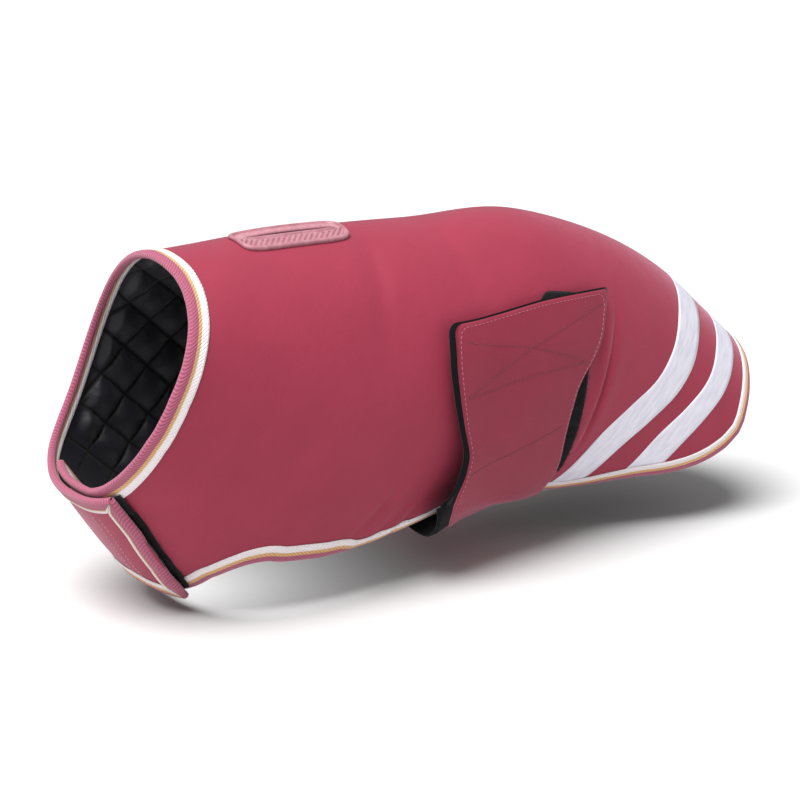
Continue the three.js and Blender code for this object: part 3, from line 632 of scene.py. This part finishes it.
def lead_patch(look):
    """Moulded patch: lip round the slit, obliquely ribbed face, raised rim."""
    around = 300 if FINE else 80
    t = np.linspace(0, 2 * math.pi, around, endpoint=False)[:, None]
    a = np.arctan2(np.sin(t) * PATCH_WIDE, np.cos(t) * PATCH_HALF)
    r = ((np.abs(np.cos(a)) / PATCH_HALF) ** 5 + (np.abs(np.sin(a)) / PATCH_WIDE) ** 5) ** -0.2
    lip = [(0, 0.15), (0, 1.7), (0.015, 2.1), (0.05, 2.5), (0.10, 2.5), (0.14, 2.1), (0.17, 1.4), (0.21, 1.4)]
    face = [(k, 1.5) for k in np.linspace(0.24, 0.74, 18)]
    rim = [(0.77, 1.4), (0.79, 1.7), (0.81, 2.4), (0.84, 2.8), (0.89, 2.9), (0.94, 2.75), (0.98, 2.3),
           (1.0, 1.5), (1.0, 0.15)]
    profile = np.array(lip + face + rim)
    k, off = profile[:, 0][None, :], profile[:, 1][None, :]
    outer = np.cos(a) * r, np.sin(a) * r
    inner = np.cos(t) * PATCH_SLOT, np.sin(t) * PATCH_GAP
    length = inner[0] + (outer[0] - inner[0]) * k
    beside = inner[1] + (outer[1] - inner[1]) * k
    ribs = np.sin((length + 0.8 * np.abs(beside)) * 2 * math.pi / RIB_PITCH)
    on_face = ease((k - 0.23) / 0.05) * ease((0.75 - k) / 0.05)
    s, g = PATCH_S + length, SLOT_AT + beside
    points = skin(s, g, off + RIB_RISE * ribs * on_face)
    return tube("soft_lead_slot_patch", points, np.stack([g, s], -1), look, closed=True)


def bristle(points, seed, amount):
    """Uneven fuzzy surface: random lift of each grid point."""
    return np.random.default_rng(seed).random(points.shape[:2]) * amount


def fuzz(name, s, g, off, count, seed, look, table=None, long=1.6):
    """Short bent fibres standing out of a fastening tape; s, g, off are grids of its surface."""
    rng = np.random.default_rng(seed)
    i = rng.random(count) * (s.shape[0] - 1.001)
    j = rng.random(count) * (s.shape[1] - 1.001)
    i0, j0, u, v = i.astype(int), j.astype(int), i % 1, j % 1
    s, g, off = (q[i0, j0] * (1 - u) * (1 - v) + q[i0 + 1, j0] * u * (1 - v) + q[i0, j0 + 1] * (1 - u) * v
                 + q[i0 + 1, j0 + 1] * u * v for q in (s, g, off))
    root = skin(s, g, off, table)
    ds, dg, normal = steps(s, g)
    a = rng.random(count) * 2 * math.pi
    lean = (ds * np.cos(a)[:, None] + dg * np.sin(a)[:, None])
    size = long * (0.5 + rng.random(count))[:, None]
    rings = []
    for up, side, thick in ((-0.2, 0, 0.11), (0.45, 0.25, 0.10), (0.75, 0.75, 0.09), (0.5, 1.2, 0.07)):
        centre = root + (normal * up + lean * side) * size
        across = np.cross(lean, normal)
        rings.append(np.stack([centre + (across * math.cos(c) + normal * math.sin(c)) * thick
                               for c in (0.5, 2.6, 4.7)], 1))
    return sewing(name, [np.stack(rings, 1)], look)


def chest_strips(look):
    step = 1.3 if FINE else 4
    s = spaced((LOOP_FROM, LOOP_TO), step)[:, None]
    h = np.linspace(0, LOOP_WIDE, int(LOOP_WIDE / step) + 1)[None, :]
    # the strip climbs over the bindings at both its ends
    over = 0.15 + 1.5 * np.maximum(1 - ease((s - 12.8) / 3), ease((s - 64) / 3))
    g = girth(s) - along(FLAP, s) - LOOP_SHOWS + h
    s, over = np.broadcast_to(s, g.shape), np.broadcast_to(over, g.shape)
    base = skin(s, g, over)
    loop = wall("soft_chest_loop_strip", skin(s, g, over + 0.8 + bristle(base, 3, 0.5)), base,
                np.stack([g, s], -1), look)
    fibres = fuzz("chest_loop_fibres", s, g, over + 0.9, 3000 if FINE else 500, 11, look)
    s = spaced((HOOK_FROM, HOOK_TO), step)[:, None]
    h = np.linspace(0, HOOK_WIDE, int(HOOK_WIDE / step) + 1)[None, :]
    g = free_edge(s) + TAPE_WIDTH + 2 + h
    s = np.broadcast_to(s, g.shape)
    under = LINING_IN + PINCH * pressed(s, g) - 0.1
    base = skin(s, g, under)
    hook = wall("soft_chest_hook_strip", base, skin(s, g, under - 0.7 - bristle(base, 4, 0.4)),
                np.stack([g, s], -1), look)
    return loop, hook, fibres


def length_at(y, g):
    """Place along the back whose section meets the line y at distance g round the form."""
    y, g = np.broadcast_arrays(np.asarray(y, float), np.asarray(g, float))
    low, high = np.full(y.shape, -5.0), np.full(y.shape, 535.0)
    for _ in range(26):
        mid = (low + high) / 2
        short = form(mid, g)[..., 1] < y
        low, high = np.where(short, mid, low), np.where(short, high, mid)
    return (low + high) / 2


STRAP_ROWS = len(STRAP) - 1


def strap_place(t, across):
    """Place and stand-off of the strap: t runs along its table, across from the front to the rear edge."""
    front, rear, y_front, y_rear, off_front, off_rear = (curve(t, np.arange(len(STRAP)), column)
                                                         for column in STRAP.T)
    g = front + (rear - front) * across + 4 * across * (1 - across) * along(SAG, t)
    off = off_front + (off_rear - off_front) * across
    # the front edge stands a little off the coat
    off = off + 2.4 * np.clip(1 - across / 0.35, 0, 1) ** 2 * (1 - ease((t - 6) / 4))
    return length_at(y_front + (y_rear - y_front) * across, g), g, off


def strap_grid(step, inset=0.0, past=0.0):
    """Grid t, across of the strap with rounded corners at its free end; inset pulls its edges in.

    past says how far the layer shows beyond the strap's cloth, as a share of the table PAST."""
    radius = CORNER_FRONT
    depth = np.concatenate([radius * (1 - np.cos(np.linspace(0, math.pi / 2, 9)[:-1])),
                            np.arange(radius, STRAP_ROWS * STRAP_PITCH - inset, step)])[:, None]
    t = (depth + inset) / STRAP_PITCH - past * END_PAST / STRAP_PITCH * (1 - ease(depth / 30))
    even_part = np.linspace(0, 1, int(110 / step) + 1)
    across = 0.3 * (1 - np.cos(math.pi * even_part)) / 2 + 0.7 * even_part
    pulls = []
    for r in (CORNER_FRONT, CORNER_REAR):
        drop = np.clip(r - depth, 0, r)
        pulls.append((inset + r - np.sqrt(r ** 2 - drop ** 2)) / STRAP_WIDE)
    pulls[0] = pulls[0] - past * along(PAST, t) / STRAP_WIDE
    across = pulls[0] + across[None, :] * (1 - pulls[0] - pulls[1])
    return np.broadcast_to(t, across.shape), across


def strap_folds(t, across):
    """Soft unevenness of the strap, shared by its cloth and backing."""
    return (0.7 * np.sin(t * 1.3 + 2 * across) * np.sin(4.1 * across + 0.5)
            + 0.5 * np.sin(t * 2.7 - 5 * across)
            - 0.9 * bell(t - 9.3 - 1.2 * across, 0.5) * bell(across - 0.2, 0.35))


def strap_surface(t, across):
    """Place and stand-off of the strap, with its folds."""
    s, g, off = strap_place(t, across)
    return s, g, off + np.maximum(strap_folds(t, across), -0.4) * ease(t / 6)


def strap_layer(name, top, under, inset, look, roll, past=0.0):
    t, across = strap_grid(3.0 if FINE else 6, inset, past)
    s, g, off = strap_surface(t, across)
    wide = STRAP_WIDE * np.minimum(across - across.min(axis=1, keepdims=True),
                                   across.max(axis=1, keepdims=True) - across)
    near = np.minimum(wide, t * STRAP_PITCH - inset)
    fall = roll * (1 - np.sqrt(1 - np.clip(1 - near / 2.6, 0, 1) ** 2))
    outer = skin(s, g, off + top - fall, PLAIN)
    place = form(s, g)
    piece = wall(name, outer, skin(s, g, off + under, PLAIN),
                 np.stack([place[..., 1], place[..., 3]], -1), look)
    return piece, area_of(outer)


def panel(name, s, g, base, rise, look, seed):
    low = skin(s, g, base, PLAIN)
    top = skin(s, g, base + rise + bristle(low, seed, 0.3), PLAIN)
    return wall(name, top, low, np.stack([g, s], -1), look)


def side_fastening(look):
    step = 2.0 if FINE else 5
    t, across = np.meshgrid(np.linspace(0, 1, int(PANEL_LONG / step)),
                            np.linspace(0, 1, int(PANEL_WIDE / step)), indexing="ij")
    top = 104 - 9 * ease((across - 0.30) / 0.2) - 4 * across
    g = top + (226 - 6 * across - top) * t
    rear = 297 - 6 * t - 10 * t * t
    s = length_at(rear - PANEL_WIDE + PANEL_WIDE * across, g)
    base = np.full(s.shape, 0.15)
    loop = panel("soft_side_loop_panel", s, g, base, 1.4, look, 5)
    fibres = fuzz("side_loop_fibres", s[:, -6:], g[:, -6:], base[:, -6:] + 1.5, 1500 if FINE else 200, 12,
                  look, PLAIN)
    t, across = np.meshgrid(np.linspace(0.4, 7.5, int(105 / step)),
                            np.linspace(0.02, 0.9, int(110 / step)), indexing="ij")
    s, g, off = strap_place(t, across)
    hook = panel("soft_strap_hook_panel", s, g, HOOK_IN + off, HOOK_TOP - HOOK_IN - 0.4, look, 6)
    return loop, hook, fibres


# Sewing
def stitch_line(path, place, length=2.9, gap=1.0, size=0.24):
    """Raised stitches along a path; place gives points in millimetres for rows of the path."""
    dense = np.linspace(0, len(path) - 1, max(2, (len(path) - 1) * 4) + 1)
    path = at_marks(dense, np.arange(len(path)), path)
    points = place(path)
    run = run_along(points)
    count = int((run[-1] - gap) // (length + gap))
    starts = gap + np.arange(count) * (length + gap)
    marks = starts[:, None] + length * np.array([0.0, 0.08, 0.35, 0.65, 0.92, 1.0])
    at = at_marks(marks, run, path)
    centre = place(at.reshape(-1, path.shape[1])).reshape(count, 6, 3)
    s, g = at[..., 0], at[..., 1]
    normal = steps(s, g)[2]
    ahead = centre[:, -1:] - centre[:, :1]
    ahead = np.broadcast_to(ahead / np.linalg.norm(ahead, axis=-1, keepdims=True), centre.shape)
    side = np.cross(normal, ahead)
    centre = centre + normal * (np.array([-0.15, 0.02, 0.12, 0.12, 0.02, -0.15]))[None, :, None]
    thick = size * np.array([0.35, 0.85, 1, 1, 0.85, 0.35])[None, :, None]
    corners = [centre + (side * math.cos(a) + normal * math.sin(a)) * thick
               for a in np.arange(6) * math.pi / 3 + math.pi / 6]
    return np.stack(corners, 2)          # stitches, sections, corners, xyz


def sewing(name, lines, look):
    rings = np.concatenate(lines)
    count, sections, around = rings.shape[:3]
    base = (np.arange(count) * sections * around)[:, None, None]
    i, j = np.arange(sections - 1)[None, :, None] * around, np.arange(around)[None, None, :]
    j2 = (j + 1) % around
    i = base + i
    quads = np.stack([i + j, i + j2, i + around + j2, i + around + j], -1).reshape(-1, 4)
    first = base[:, 0, 0][:, None] + np.arange(around)[::-1]
    last = base[:, 0, 0][:, None] + (sections - 1) * around + np.arange(around)
    faces = quads.tolist() + first.tolist() + last.tolist()
    points = rings.reshape(-1, 3)
    uv = np.zeros((len(points), 2))
    uv[:, 0] = np.tile(np.repeat(np.arange(sections), around), count) * 0.5
    uv[:, 1] = np.repeat(np.arange(count), sections * around) * 0.37
    return mesh_piece(name, points, faces, uv, look)


def off_skin(off):
    return lambda path: skin(path[:, 0], path[:, 1], off)


def tape_inner_line(name, run, short=1.3):
    """Path just outside the inner border of the binding tape."""
    path = even(run, 3.0)
    s, g = path[:, 0], path[:, 1]
    _, _, step_s, step_g = inward_steps(s, g)
    inward = TAPE_WIDTH * tape_fit(name, s, g)[0] - short
    moved = np.stack([s + step_s * inward, g + step_g * inward], 1)
    ends = int(TAPE_WIDTH / 3) + 1
    return moved[ends:-ends]


def flap_line(inward):
    """Path on the right chest panel, a distance in from its free edge."""
    s = np.arange(11.0, 62.0, 3.0)
    return np.stack([s, free_edge(s) + inward], 1)


def strap_sewing(edge_look, cross_look):
    """Edge stitching of the strap, and the stitching that holds its fastening panel."""
    def line(points, size=0.26):
        points = np.array(points, float)
        dense = np.linspace(0, len(points) - 1, 60 * (len(points) - 1) + 1)
        t, across = at_marks(dense, np.arange(len(points)), points).T
        s, g, off = strap_surface(t, across)
        return stitch_line(np.stack([s, g, off], 1),
                           lambda p: skin(p[:, 0], p[:, 1], p[:, 2] + STRAP_OUT, PLAIN), 2.1, 1.3, size)
    a, b = 0.03, 0.97
    edge = [(19, a), (12, a), (6, a), (0.9, a), (0.45, a + 0.012), (0.25, a + 0.04), (0.25, 0.5),
            (0.25, b - 0.04), (0.45, b - 0.012), (0.9, b), (6, b), (12, b), (19, b)]
    cross = [line(ends) for ends in ([(0.65, 0.96), (3.2, 0.05)], [(3.2, 0.05), (3.1, 0.96)],
                                     [(0.85, 0.06), (3.15, 0.95)], [(6.8, 0.05), (5.4, 0.95)])]
    return [sewing("strap_edge_sewing", [line(edge, 0.18)], edge_look),
            sewing("strap_cross_sewing", cross, cross_look)]


# Materials
class Look:
    """A procedural material with short helpers for its nodes."""

    def __init__(self, name):
        self.mat = bpy.data.materials.new(name)
        self.mat.use_nodes = True
        self.tree = self.mat.node_tree
        self.shader = self.tree.nodes["Principled BSDF"]

    def node(self, kind, **values):
        made = self.tree.nodes.new(kind)
        for key, value in values.items():
            setattr(made, key, value)
        return made

    def fill(self, made, **values):
        for key, value in values.items():
            made.inputs[key].default_value = value
        return made

    def link(self, a, b):
        self.tree.links.new(a, b)

    def place(self, scale=(1, 1, 1), turn=0.0, source="UV"):
        coords = self.node("ShaderNodeTexCoord")
        mapping = self.fill(self.node("ShaderNodeMapping"), Scale=scale, Rotation=(0, 0, turn))
        self.link(coords.outputs[source], mapping.inputs["Vector"])
        return mapping.outputs["Vector"]

    def noise(self, vector, scale, detail=3.0, rough=0.55):
        made = self.fill(self.node("ShaderNodeTexNoise"), Scale=scale, Detail=detail, Roughness=rough)
        self.link(vector, made.inputs["Vector"])
        return made.outputs["Fac"]

    def wave(self, vector, scale, distortion=0.0):
        made = self.node("ShaderNodeTexWave", bands_direction="X")
        self.fill(made, Scale=scale, Distortion=distortion, Detail=0.0)
        self.link(vector, made.inputs["Vector"])
        return made.outputs["Fac"]

    def math(self, how, a, b=None, c=None):
        made = self.node("ShaderNodeMath", operation=how)
        for socket, value in zip(made.inputs, (a, b, c)):
            if value is None:
                continue
            if isinstance(value, (int, float)):
                socket.default_value = value
            else:
                self.link(value, socket)
        return made.outputs[0]

    def times(self, value, k):
        return self.math("MULTIPLY", value, k)

    def mixed(self, a, share_a, b, share_b):
        """Sum of two values by their shares."""
        return self.math("ADD", self.times(a, share_a), self.times(b, share_b))

    def ramp(self, fac, stops):
        made = self.node("ShaderNodeValToRGB")
        made.color_ramp.interpolation = "LINEAR"
        ramp = made.color_ramp.elements
        while len(ramp) > 1:
            ramp.remove(ramp[-1])
        ramp[0].position, ramp[0].color = stops[0][0], (*stops[0][1], 1)
        for at, colour in stops[1:]:
            ramp.new(at).color = (*colour, 1)
        self.link(fac, made.inputs["Fac"])
        return made.outputs["Color"]

    def bump(self, height, distance, strength=1.0, normal=None):
        made = self.fill(self.node("ShaderNodeBump"), Distance=distance, Strength=strength)
        self.link(height, made.inputs["Height"])
        if normal is not None:
            self.link(normal, made.inputs["Normal"])
        return made.outputs["Normal"]

    def finish(self, colour=None, normal=None, rough=None, **values):
        if colour is not None:
            self.link(colour, self.shader.inputs["Base Color"])
        if normal is not None:
            self.link(normal, self.shader.inputs["Normal"])
        if rough is not None:
            self.link(rough, self.shader.inputs["Roughness"])
        for key, value in values.items():
            self.shader.inputs[key.replace("_", " ")].default_value = value
        return self.mat


def linear(r, g, b):
    """Linear colour of an 8-bit display colour."""
    return tuple((v / 255 / 12.92 if v < 10.3 else ((v / 255 + 0.055) / 1.055) ** 2.4) for v in (r, g, b))


def shade(colour, k):
    return tuple(min(1.0, v * k) for v in colour)


WAVE = 2 * math.pi / 20        # scale of a wave texture whose bands are a metre apart


def weave(look, vector, pitch):
    """Height of a plain weave with the given pitch in metres."""
    turned = look.fill(look.node("ShaderNodeMapping"), Rotation=(0, 0, math.pi / 2))
    look.link(vector, turned.inputs["Vector"])
    waves = WAVE / pitch
    return look.math("MULTIPLY", look.wave(vector, waves), look.wave(turned.outputs["Vector"], waves))


CLOTH_RED = linear(155, 51, 72)
TAPE_PINK = linear(176, 92, 118)
TAPE_GOLD = linear(222, 176, 118)
TAPE_WHITE = linear(240, 232, 234)


def cloth_look(name, red):
    """Dense matt burgundy weave with a faint sheen."""
    look = Look(name)
    at = look.place()
    blotch = look.noise(at, 26, 2)
    grain = look.noise(at, 900, 3, 0.7)
    tone = look.mixed(blotch, 0.35, grain, 0.65)
    colour = look.ramp(tone, [(0.25, shade(red, 0.84)), (0.5, red), (0.78, shade(red, 1.17))])
    height = look.mixed(weave(look, at, 0.0008), 0.5, grain, 0.5)
    soft = look.bump(look.noise(at, 55, 2), 0.0012, 0.35)
    return look.finish(colour, look.bump(height, 0.00016, 0.7, soft), Roughness=0.6, Sheen_Weight=0.55,
                       Sheen_Roughness=0.35, Sheen_Tint=(1.0, 0.65, 0.80, 1), Specular_IOR_Level=0.22)


def lining_look():
    """Black quilted satin: seams and puckers on 45 degree lines."""
    look = Look("quilted_satin")
    at = look.place()
    turned = look.place(turn=math.pi / 4)
    parts = look.node("ShaderNodeSeparateXYZ")
    look.link(turned, parts.inputs[0])
    seams = [look.math("ABSOLUTE", look.math("SINE", look.times(parts.outputs[k], math.pi / (QUILT * MM))))
             for k in (0, 1)]
    seam = look.math("MINIMUM", *seams)
    groove = look.math("POWER", look.math("MINIMUM", look.times(seam, 4.0), 1.0), 0.8)
    pucker = look.math("MULTIPLY", look.noise(at, 210, 1, 0.4), look.math("SUBTRACT", 1.0, seam))
    normal = look.bump(pucker, 0.0016, 0.6, look.bump(groove, 0.0010, 0.8))
    normal = look.bump(look.wave(turned, WAVE / 0.0006, 0.4), 0.00006, 0.3, normal)
    # the colour darkens from the padded squares into the seam grooves: painted shade in the quilting's
    # hollows
    colour = look.ramp(groove, [(0.0, linear(2, 2, 3)), (0.6, linear(12, 12, 16)), (1.0, linear(27, 27, 34))])
    rough = look.math("SUBTRACT", 0.95, look.times(groove, 0.45))
    return look.finish(colour, normal, rough, Specular_IOR_Level=0.33, Sheen_Weight=0.1, Sheen_Roughness=0.4)


def tape_look():
    """Woven twill tape: white along its inner edge, a gold line, mauve at the rim."""
    look = Look("woven_binding")
    at = look.place()
    parts = look.node("ShaderNodeSeparateXYZ")
    look.link(at, parts.inputs[0])
    wander = look.times(look.math("SUBTRACT", look.noise(at, 420, 2), 0.5), 0.0006)
    place = look.math("DIVIDE", look.math("ADD", parts.outputs[1], wander), TAPE_WIDTH * MM)
    band = look.ramp(place, [(0.0, TAPE_PINK), (0.34, TAPE_PINK), (0.36, shade(TAPE_PINK, 0.8)),
                             (0.375, TAPE_GOLD), (0.565, TAPE_GOLD), (0.58, shade(TAPE_WHITE, 0.9)),
                             (0.60, TAPE_WHITE), (1.0, TAPE_WHITE)])
    twill = look.wave(look.place(turn=math.radians(52)), WAVE / 0.0016, 0.8)
    shadow = look.ramp(twill, [(0.0, (0.55, 0.50, 0.53)), (0.4, (0.92, 0.90, 0.91)),
                               (1.0, (1.06, 1.06, 1.06))])
    mix = look.node("ShaderNodeMix", data_type="RGBA", blend_type="MULTIPLY")
    look.link(look.ramp(place, [(0.44, (0.8, 0.8, 0.8)), (0.60, (0.06, 0.06, 0.06))]), mix.inputs["Factor"])
    look.link(band, mix.inputs["A"])
    look.link(shadow, mix.inputs["B"])
    height = look.mixed(twill, 0.75, look.noise(at, 1500, 2), 0.25)
    return look.finish(mix.outputs["Result"], look.bump(height, 0.00045, 0.8), Roughness=0.8,
                       Sheen_Weight=0.25, Sheen_Roughness=0.5, Specular_IOR_Level=0.25)


def stripe_look():
    """Silver reflective tape with faint glass-bead sparkle and crease marks."""
    look = Look("reflective_tape")
    at = look.place()
    beads = look.noise(at, 2600, 2, 0.6)
    marks = look.noise(look.place((1, 5, 1)), 60, 3)
    tone = look.mixed(beads, 0.4, marks, 0.6)
    colour = look.ramp(tone, [(0.3, linear(204, 202, 216)), (0.5, linear(226, 224, 236)),
                              (0.7, linear(240, 238, 247))])
    normal = look.bump(marks, 0.0009, 0.4, look.bump(beads, 0.00008, 0.5))
    return look.finish(colour, normal, Roughness=0.5, Metallic=0.1, Specular_IOR_Level=0.4)


def rubber_look():
    """Soft moulded rubber in a lighter red."""
    look = Look("patch_rubber")
    at = look.place()
    tone = look.noise(at, 180, 3)
    colour = look.ramp(tone, [(0.3, linear(165, 108, 119)), (0.7, linear(186, 132, 142))])
    return look.finish(colour, look.bump(look.noise(at, 2200, 2), 0.00008, 0.5), Roughness=0.5,
                       Specular_IOR_Level=0.4)


def nap_look(name, grain, stops, height, **values):
    """Black napped cloth: one noise sets its tone and its height."""
    look = Look(name)
    nap = look.noise(look.place(), *grain)
    colour = look.ramp(nap, [(at, linear(*tone)) for at, tone in stops])
    return look.finish(colour, look.bump(nap, *height), Roughness=0.9, **values)


def fastening_look():
    return nap_look("hook_and_loop", (1100, 4, 0.7), [(0.35, (9, 9, 12)), (0.6, (22, 22, 26)),
                                                      (0.8, (40, 39, 44))], (0.0009, 1.0),
                    Sheen_Weight=0.08, Sheen_Roughness=0.6, Specular_IOR_Level=0.15)


def backing_look():
    return nap_look("brushed_backing", (700, 4, 0.65), [(0.3, (7, 7, 10)), (0.7, (17, 17, 22))],
                    (0.0004, 0.8), Sheen_Weight=0.06, Sheen_Roughness=0.5, Specular_IOR_Level=0.12)


def thread_look(name, colour):
    """Twisted sewing thread."""
    look = Look(name)
    ply = look.wave(look.place(turn=0.6), 900)
    tone = look.ramp(ply, [(0.0, shade(colour, 0.75)), (1.0, shade(colour, 1.1))])
    return look.finish(tone, look.bump(ply, 0.00005, 0.6), Roughness=0.6, Sheen_Weight=0.2)


def floor_look():
    look = Look("pale_floor")
    at = look.place(source="Object")
    tone = look.noise(at, 3, 2)
    colour = look.ramp(tone, [(0.2, (0.68, 0.68, 0.68)), (0.8, (0.71, 0.71, 0.71))])
    return look.finish(colour, Roughness=0.9, Specular_IOR_Level=0.1)


# Assembly
def build_coat():
    cloth, tape, tape_black = cloth_look("burgundy_cloth", CLOTH_RED), tape_look(), fastening_look()
    # the strap's cloth is the coat's red darkened to 0.82: painted shade, for the strap taking less light
    # than the coat
    strap_cloth = cloth_look("burgundy_strap_cloth_painted_shade", shade(CLOTH_RED, 0.82))
    shell, shell_area = shell_cloth(cloth)
    lining, lining_area = quilted_lining(lining_look())
    bound = bindings(tape)
    silver = stripes(stripe_look())
    patch = lead_patch(rubber_look())
    loop, hook, loop_fibres = chest_strips(tape_black)
    side_loop, side_hook, side_fibres = side_fastening(tape_black)
    strap, strap_area = strap_layer("soft_belly_strap_cloth", STRAP_OUT, STRAP_IN, 0.8, strap_cloth,
                                    roll=1.0)
    backing, backing_area = strap_layer("soft_belly_strap_backing", BACKING_OUT, BACKING_IN, 0.0,
                                        backing_look(), roll=0.5, past=1.0)
    pale_thread = thread_look("pale_thread", linear(196, 124, 142))
    dark_thread = thread_look("dark_thread", linear(96, 34, 50))
    white_thread = thread_look("white_thread", TAPE_WHITE)
    edge_lines = [stitch_line(tape_inner_line(name, run), off_skin(LEG_OUT + TAPE - 0.02))
                  for name, run in RUNS.items()]
    binding_thread = sewing("binding_sewing", edge_lines, white_thread)
    flap_lines = [stitch_line(flap_line(inward), off_skin(0.08), 2.0, 1.2, 0.24) for inward in CHEST_SEAMS]
    flap_thread = sewing("chest_sewing", flap_lines, thread_look("light_thread", linear(232, 178, 190)))
    strap_threads = strap_sewing(pale_thread, dark_thread)


# Stage
FLOOR_Z = -0.2335
LOOK_AT = np.array([0.0, 190.8, -124.6])
TURN, RAISE, AWAY = math.radians(33.8), math.radians(14.4), 1400.0
SUN_TOWARD, SUN_ENERGY, SUN_SPREAD = (0.08, -0.38, 0.92), 4.7, math.radians(44)
SKY = 0.32


def sun():
    """Broad soft light, even over the whole floor."""
    data = bpy.data.lights.new("lamp_top", "SUN")
    data.energy, data.angle = SUN_ENERGY, SUN_SPREAD
    made = bpy.data.objects.new("lamp_top", data)
    COLLECTION.objects.link(made)
    made.rotation_euler = Vector(SUN_TOWARD).to_track_quat("Z", "Y").to_euler()


def build_stage():
    bpy.ops.mesh.primitive_plane_add(size=60, location=(0, 0, FLOOR_Z))
    floor = bpy.context.object
    floor.name = "floor"
    floor.data.materials.append(floor_look())
    sun()
    world = bpy.context.scene.world or bpy.data.worlds.new("world")
    bpy.context.scene.world = world
    world.use_nodes = True
    sky = world.node_tree.nodes["Background"]
    sky.inputs["Color"].default_value = (1, 1, 1, 1)
    sky.inputs["Strength"].default_value = SKY
    bpy.context.scene.view_settings.view_transform = "Standard"
    data = bpy.data.cameras.new("camera")
    data.lens, data.sensor_width = 90.0, 36.0
    data.clip_start, data.clip_end = 0.01, 50
    camera = bpy.data.objects.new("camera", data)
    COLLECTION.objects.link(camera)
    away = AWAY * np.array([math.cos(RAISE) * math.cos(TURN), -math.cos(RAISE) * math.sin(TURN),
                            math.sin(RAISE)])
    camera.location = Vector(metres(LOOK_AT + away))
    aim = Vector(metres(LOOK_AT)) - camera.location
    camera.rotation_euler = aim.to_track_quat("-Z", "Y").to_euler()
    bpy.context.scene.camera = camera


build_coat()
build_stage()
